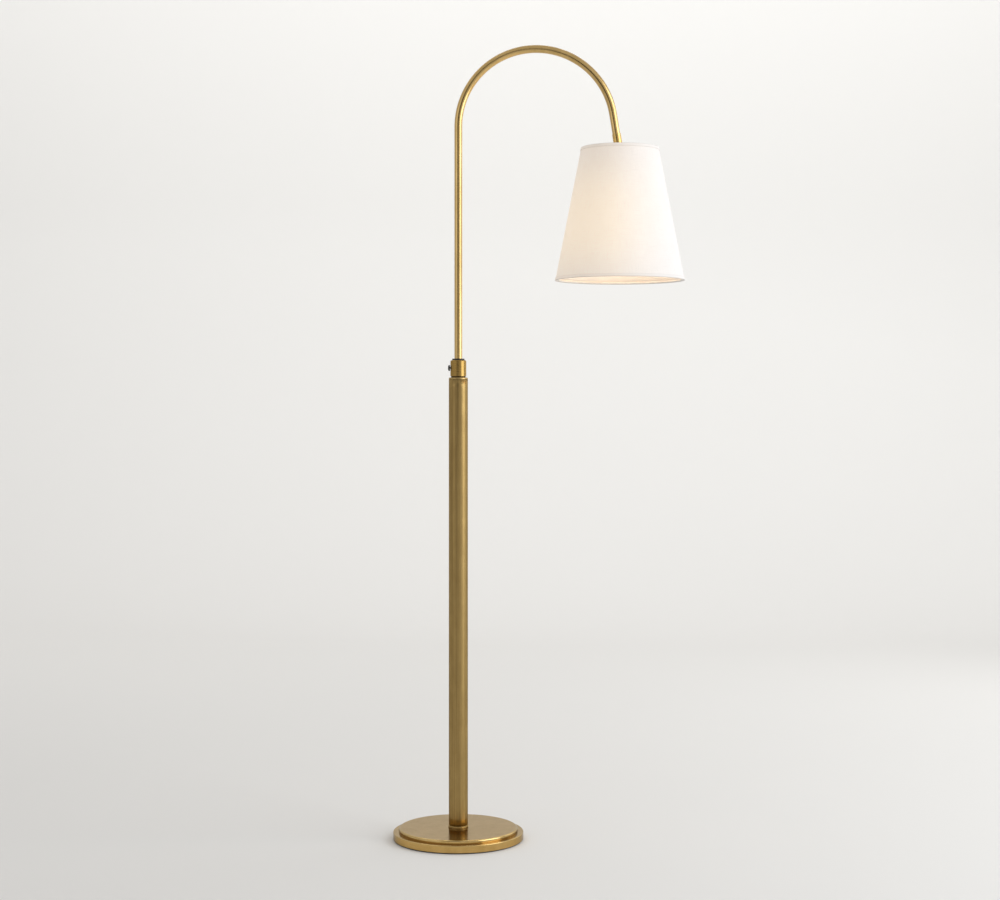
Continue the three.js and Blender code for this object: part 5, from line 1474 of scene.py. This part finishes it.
# %% Finishes for the carried-over nodes
plain_finish = {"antique_brass": "antique_plain", "satin_brass": "satin_plain"}
kept = []
for node_name, node_object in frame["nodes"].items():
    finish_name = plain_finish.get(slot_of[node_name], slot_of[node_name])
    node_object.data.materials.clear()
    node_object.data.materials.append(finishes[finish_name])
    if not node_object.hide_render:
        kept.append(node_name)
print("kept from the CAD:", sorted(kept))

# %% [markdown]
# ## Floor and backdrop
# The studio is a pale sheet that runs from the floor up into the wall in one curve. A floor
# and a wall would meet in a line, while a curve has no horizon. The paper's colour is
# painted lighter up the wall than underfoot, and lighter to the right than to the left:
# painted light, as if more light fell there.

# %% Studio sheet
SHEET_BACK, SHEET_FRONT, SHEET_HALF, SHEET_TOP, SHEET_CURVE = 4.8, -9.0, 9.0, 5.5, 1.8
FLOOR_ROWS, CURVE_ROWS, WALL_ROWS = 30, 24, 12


def studio_sheet(name):
    """A profile carried along X: flat floor, a quarter circle, and a wall."""
    a = np.linspace(0, math.pi / 2, CURVE_ROWS)
    curve = np.stack((SHEET_BACK - SHEET_CURVE * (1 - np.sin(a)), SHEET_CURVE * (1 - np.cos(a))), -1)
    y = np.linspace(SHEET_FRONT, curve[0, 0], FLOOR_ROWS)[:-1]
    z = np.linspace(curve[-1, 1], SHEET_TOP, WALL_ROWS)[1:]
    floor_line, wall_line = np.stack((y, 0 * y), -1), np.stack((SHEET_BACK + 0 * z, z), -1)
    profile = np.vstack((floor_line, curve, wall_line))
    x = np.linspace(-SHEET_HALF, SHEET_HALF, 3)
    rows = np.stack(np.broadcast_arrays(x[None], profile[:, :1], profile[:, 1:]), -1)
    count, columns = rows.shape[:2]
    index = np.arange(count * columns).reshape(count, columns)
    faces = np.stack((index[:-1, :-1], index[:-1, 1:], index[1:, 1:], index[1:, :-1]), -1)
    mesh = bpy.data.meshes.new(name)
    mesh.from_pydata(rows.reshape(-1, 3), [], faces.reshape(-1, 4).tolist())
    mesh.polygons.foreach_set("use_smooth", np.ones(len(mesh.polygons), bool))
    sweep = path_length(profile) + SHEET_FRONT
    store(mesh, "sweep", np.repeat(sweep, columns))
    piece = bpy.data.objects.new(name, mesh)
    bpy.context.scene.collection.objects.link(piece)
    return piece


paper = Finish("studio paper", Specular_IOR_Level=0.2)
fibres = paper.noise(paper.where(), 3.0, 3)
# Painted light: the paper's colour is lighter up the wall and to the right, as if more light fell
# there; the fibres add a little random tone.
painted_light_and_fibres = paper.spread(paper.read("sweep", "Fac"), 3.0, 5.6)
painted_light_and_fibres = paper.calc("ADD", painted_light_and_fibres, paper.spread(fibres, 0.3, 0.7, -0.01, 0.01))
across = paper.add("SeparateXYZ", {0: paper.where()}).outputs["X"]
painted_light_and_fibres = paper.calc("ADD", painted_light_and_fibres, paper.spread(across, -2.3, 2.3, -0.18, 0.22))
PAPER_SHADED, PAPER_LIT = (0.765, 0.755, 0.737, 1), (0.895, 0.888, 0.870, 1)
paper.colour(paper.mix(painted_light_and_fibres, PAPER_SHADED, PAPER_LIT))
paper.rough(0.9)
sheet = studio_sheet("studio_sheet")
sheet.data.materials.append(paper.material)
sheet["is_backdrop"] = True
print("sheet", SHEET_HALF * 2, "wide, wall at", SHEET_BACK)

# %% [markdown]
# ## Light
# A large soft light stands on the right and gives the brass its bright side. A weaker panel
# on the left draws a second line on the tubes, a small one behind on the right edges them,
# and a wide one lights the wall. The rest comes evenly from the white room. Spotlights would
# be simpler, but a tube mirrors what is round it, and only a broad panel leaves a broad line.

# %% Lights
world = bpy.data.worlds.new("studio")
world.use_nodes = True
room = world.node_tree.nodes["Background"].inputs
room["Color"].default_value = (1.0, 0.99, 0.975, 1)
room["Strength"].default_value = 0.60
bpy.context.scene.world = world


def panel(name, place, towards, width, height, power, colour=(1, 1, 1)):
    """A soft rectangular light that faces a point."""
    data = bpy.data.lights.new(name, "AREA")
    data.shape = "RECTANGLE"
    data.size, data.size_y = width, height
    data.energy = power
    data.color = colour
    light = bpy.data.objects.new(name, data)
    way = np.array(towards, float) - np.array(place, float)
    light.location = place
    light.rotation_euler = (
        math.atan2(math.hypot(way[0], way[1]), -way[2]), 0, math.atan2(-way[0], way[1]))
    bpy.context.scene.collection.objects.link(light)
    return light


panel("key", (2.9, -1.15, 1.8), (0.1, 0, 0.9), 2.6, 2.8, 61.0, (0.93, 0.965, 1.0))
panel("fill", (-2.7, -2.0, 1.95), (0.2, 0, 1.3), 2.2, 1.4, 4.8)
panel("rim", (2.3, 1.7, 1.45), (0.1, 0, 0.7), 1.5, 1.9, 6.5)
panel("wall_wash", (0.5, 2.3, 4.7), (0.4, 4.8, 2.1), 8.5, 0.8, 94.0)

# %% [markdown]
# ## The dark flag
# In an all-white room brass loses its shape. A dark cloth before the lamp is mirrored as the
# dark line along the tubes. Only reflections see it here: it hides nothing from the camera,
# throws no shadow and takes no light from the floor.

# %% Dark flag
FLAG_DISTANCE = -1.5
FLAG_LEFT, FLAG_RIGHT, FLAG_FOOT, FLAG_TOP = -0.63, 0.16, 0.96, 2.2
flag_corners = [(FLAG_LEFT, FLAG_FOOT), (FLAG_RIGHT, FLAG_FOOT), (FLAG_RIGHT, FLAG_TOP),
                (FLAG_LEFT, FLAG_TOP)]
flag_mesh = bpy.data.meshes.new("dark_flag")
flag_mesh.from_pydata([(x, FLAG_DISTANCE, z) for x, z in flag_corners], [], [(0, 1, 2, 3)])
flag = bpy.data.objects.new("dark_flag", flag_mesh)
bpy.context.scene.collection.objects.link(flag)
flag_cloth = Finish("dark flag", Roughness=1.0)
folds = flag_cloth.noise(flag_cloth.where(), 8.0)
flag_cloth.colour(flag_cloth.mix(folds, (0.02, 0.02, 0.02, 1), (0.035, 0.033, 0.03, 1)))
flag_mesh.materials.append(flag_cloth.material)
for ray in ("camera", "diffuse", "shadow"):
    setattr(flag, f"visible_{ray}", False)
flag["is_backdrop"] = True
print("flag", round(FLAG_RIGHT - FLAG_LEFT, 2), "by", round(FLAG_TOP - FLAG_FOOT, 2))

# %% [markdown]
# ## The bulb's light
# The glass only has to look lit, and a surface that lights a scene by itself is noisy. A
# point light as large as the globe stands at its middle, warm like a filament, and rides
# on the head, so it tilts with the shade. The glass casts no shadow and lets it out.

# %% Bulb light
bulb_light_data = bpy.data.lights.new("bulb_light", "POINT")
bulb_light_data.energy = 0.42
bulb_light_data.color = (1.0, 0.68, 0.44)
bulb_light_data.shadow_soft_size = BULB_RADIUS
bulb_light = bpy.data.objects.new("bulb_light", bulb_light_data)
bulb_light.location = (axis_x, 0, GLOBE_HEIGHT)
bpy.context.scene.collection.objects.link(bulb_light)
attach(bulb_light, "head")

# %% [markdown]
# ## Size
# The visual model is meant to fill the same box as the CAD. Both boxes are printed,
# because a piece that has grown is easy to miss by eye.

# %% Sizes
visual_box = [list(corner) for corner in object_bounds()]
print("pieces made", len(made))
for label, corners in (("cad", cad_box), ("visual", visual_box)):
    print(label, [[round(v, 4) for v in corner] for corner in corners])
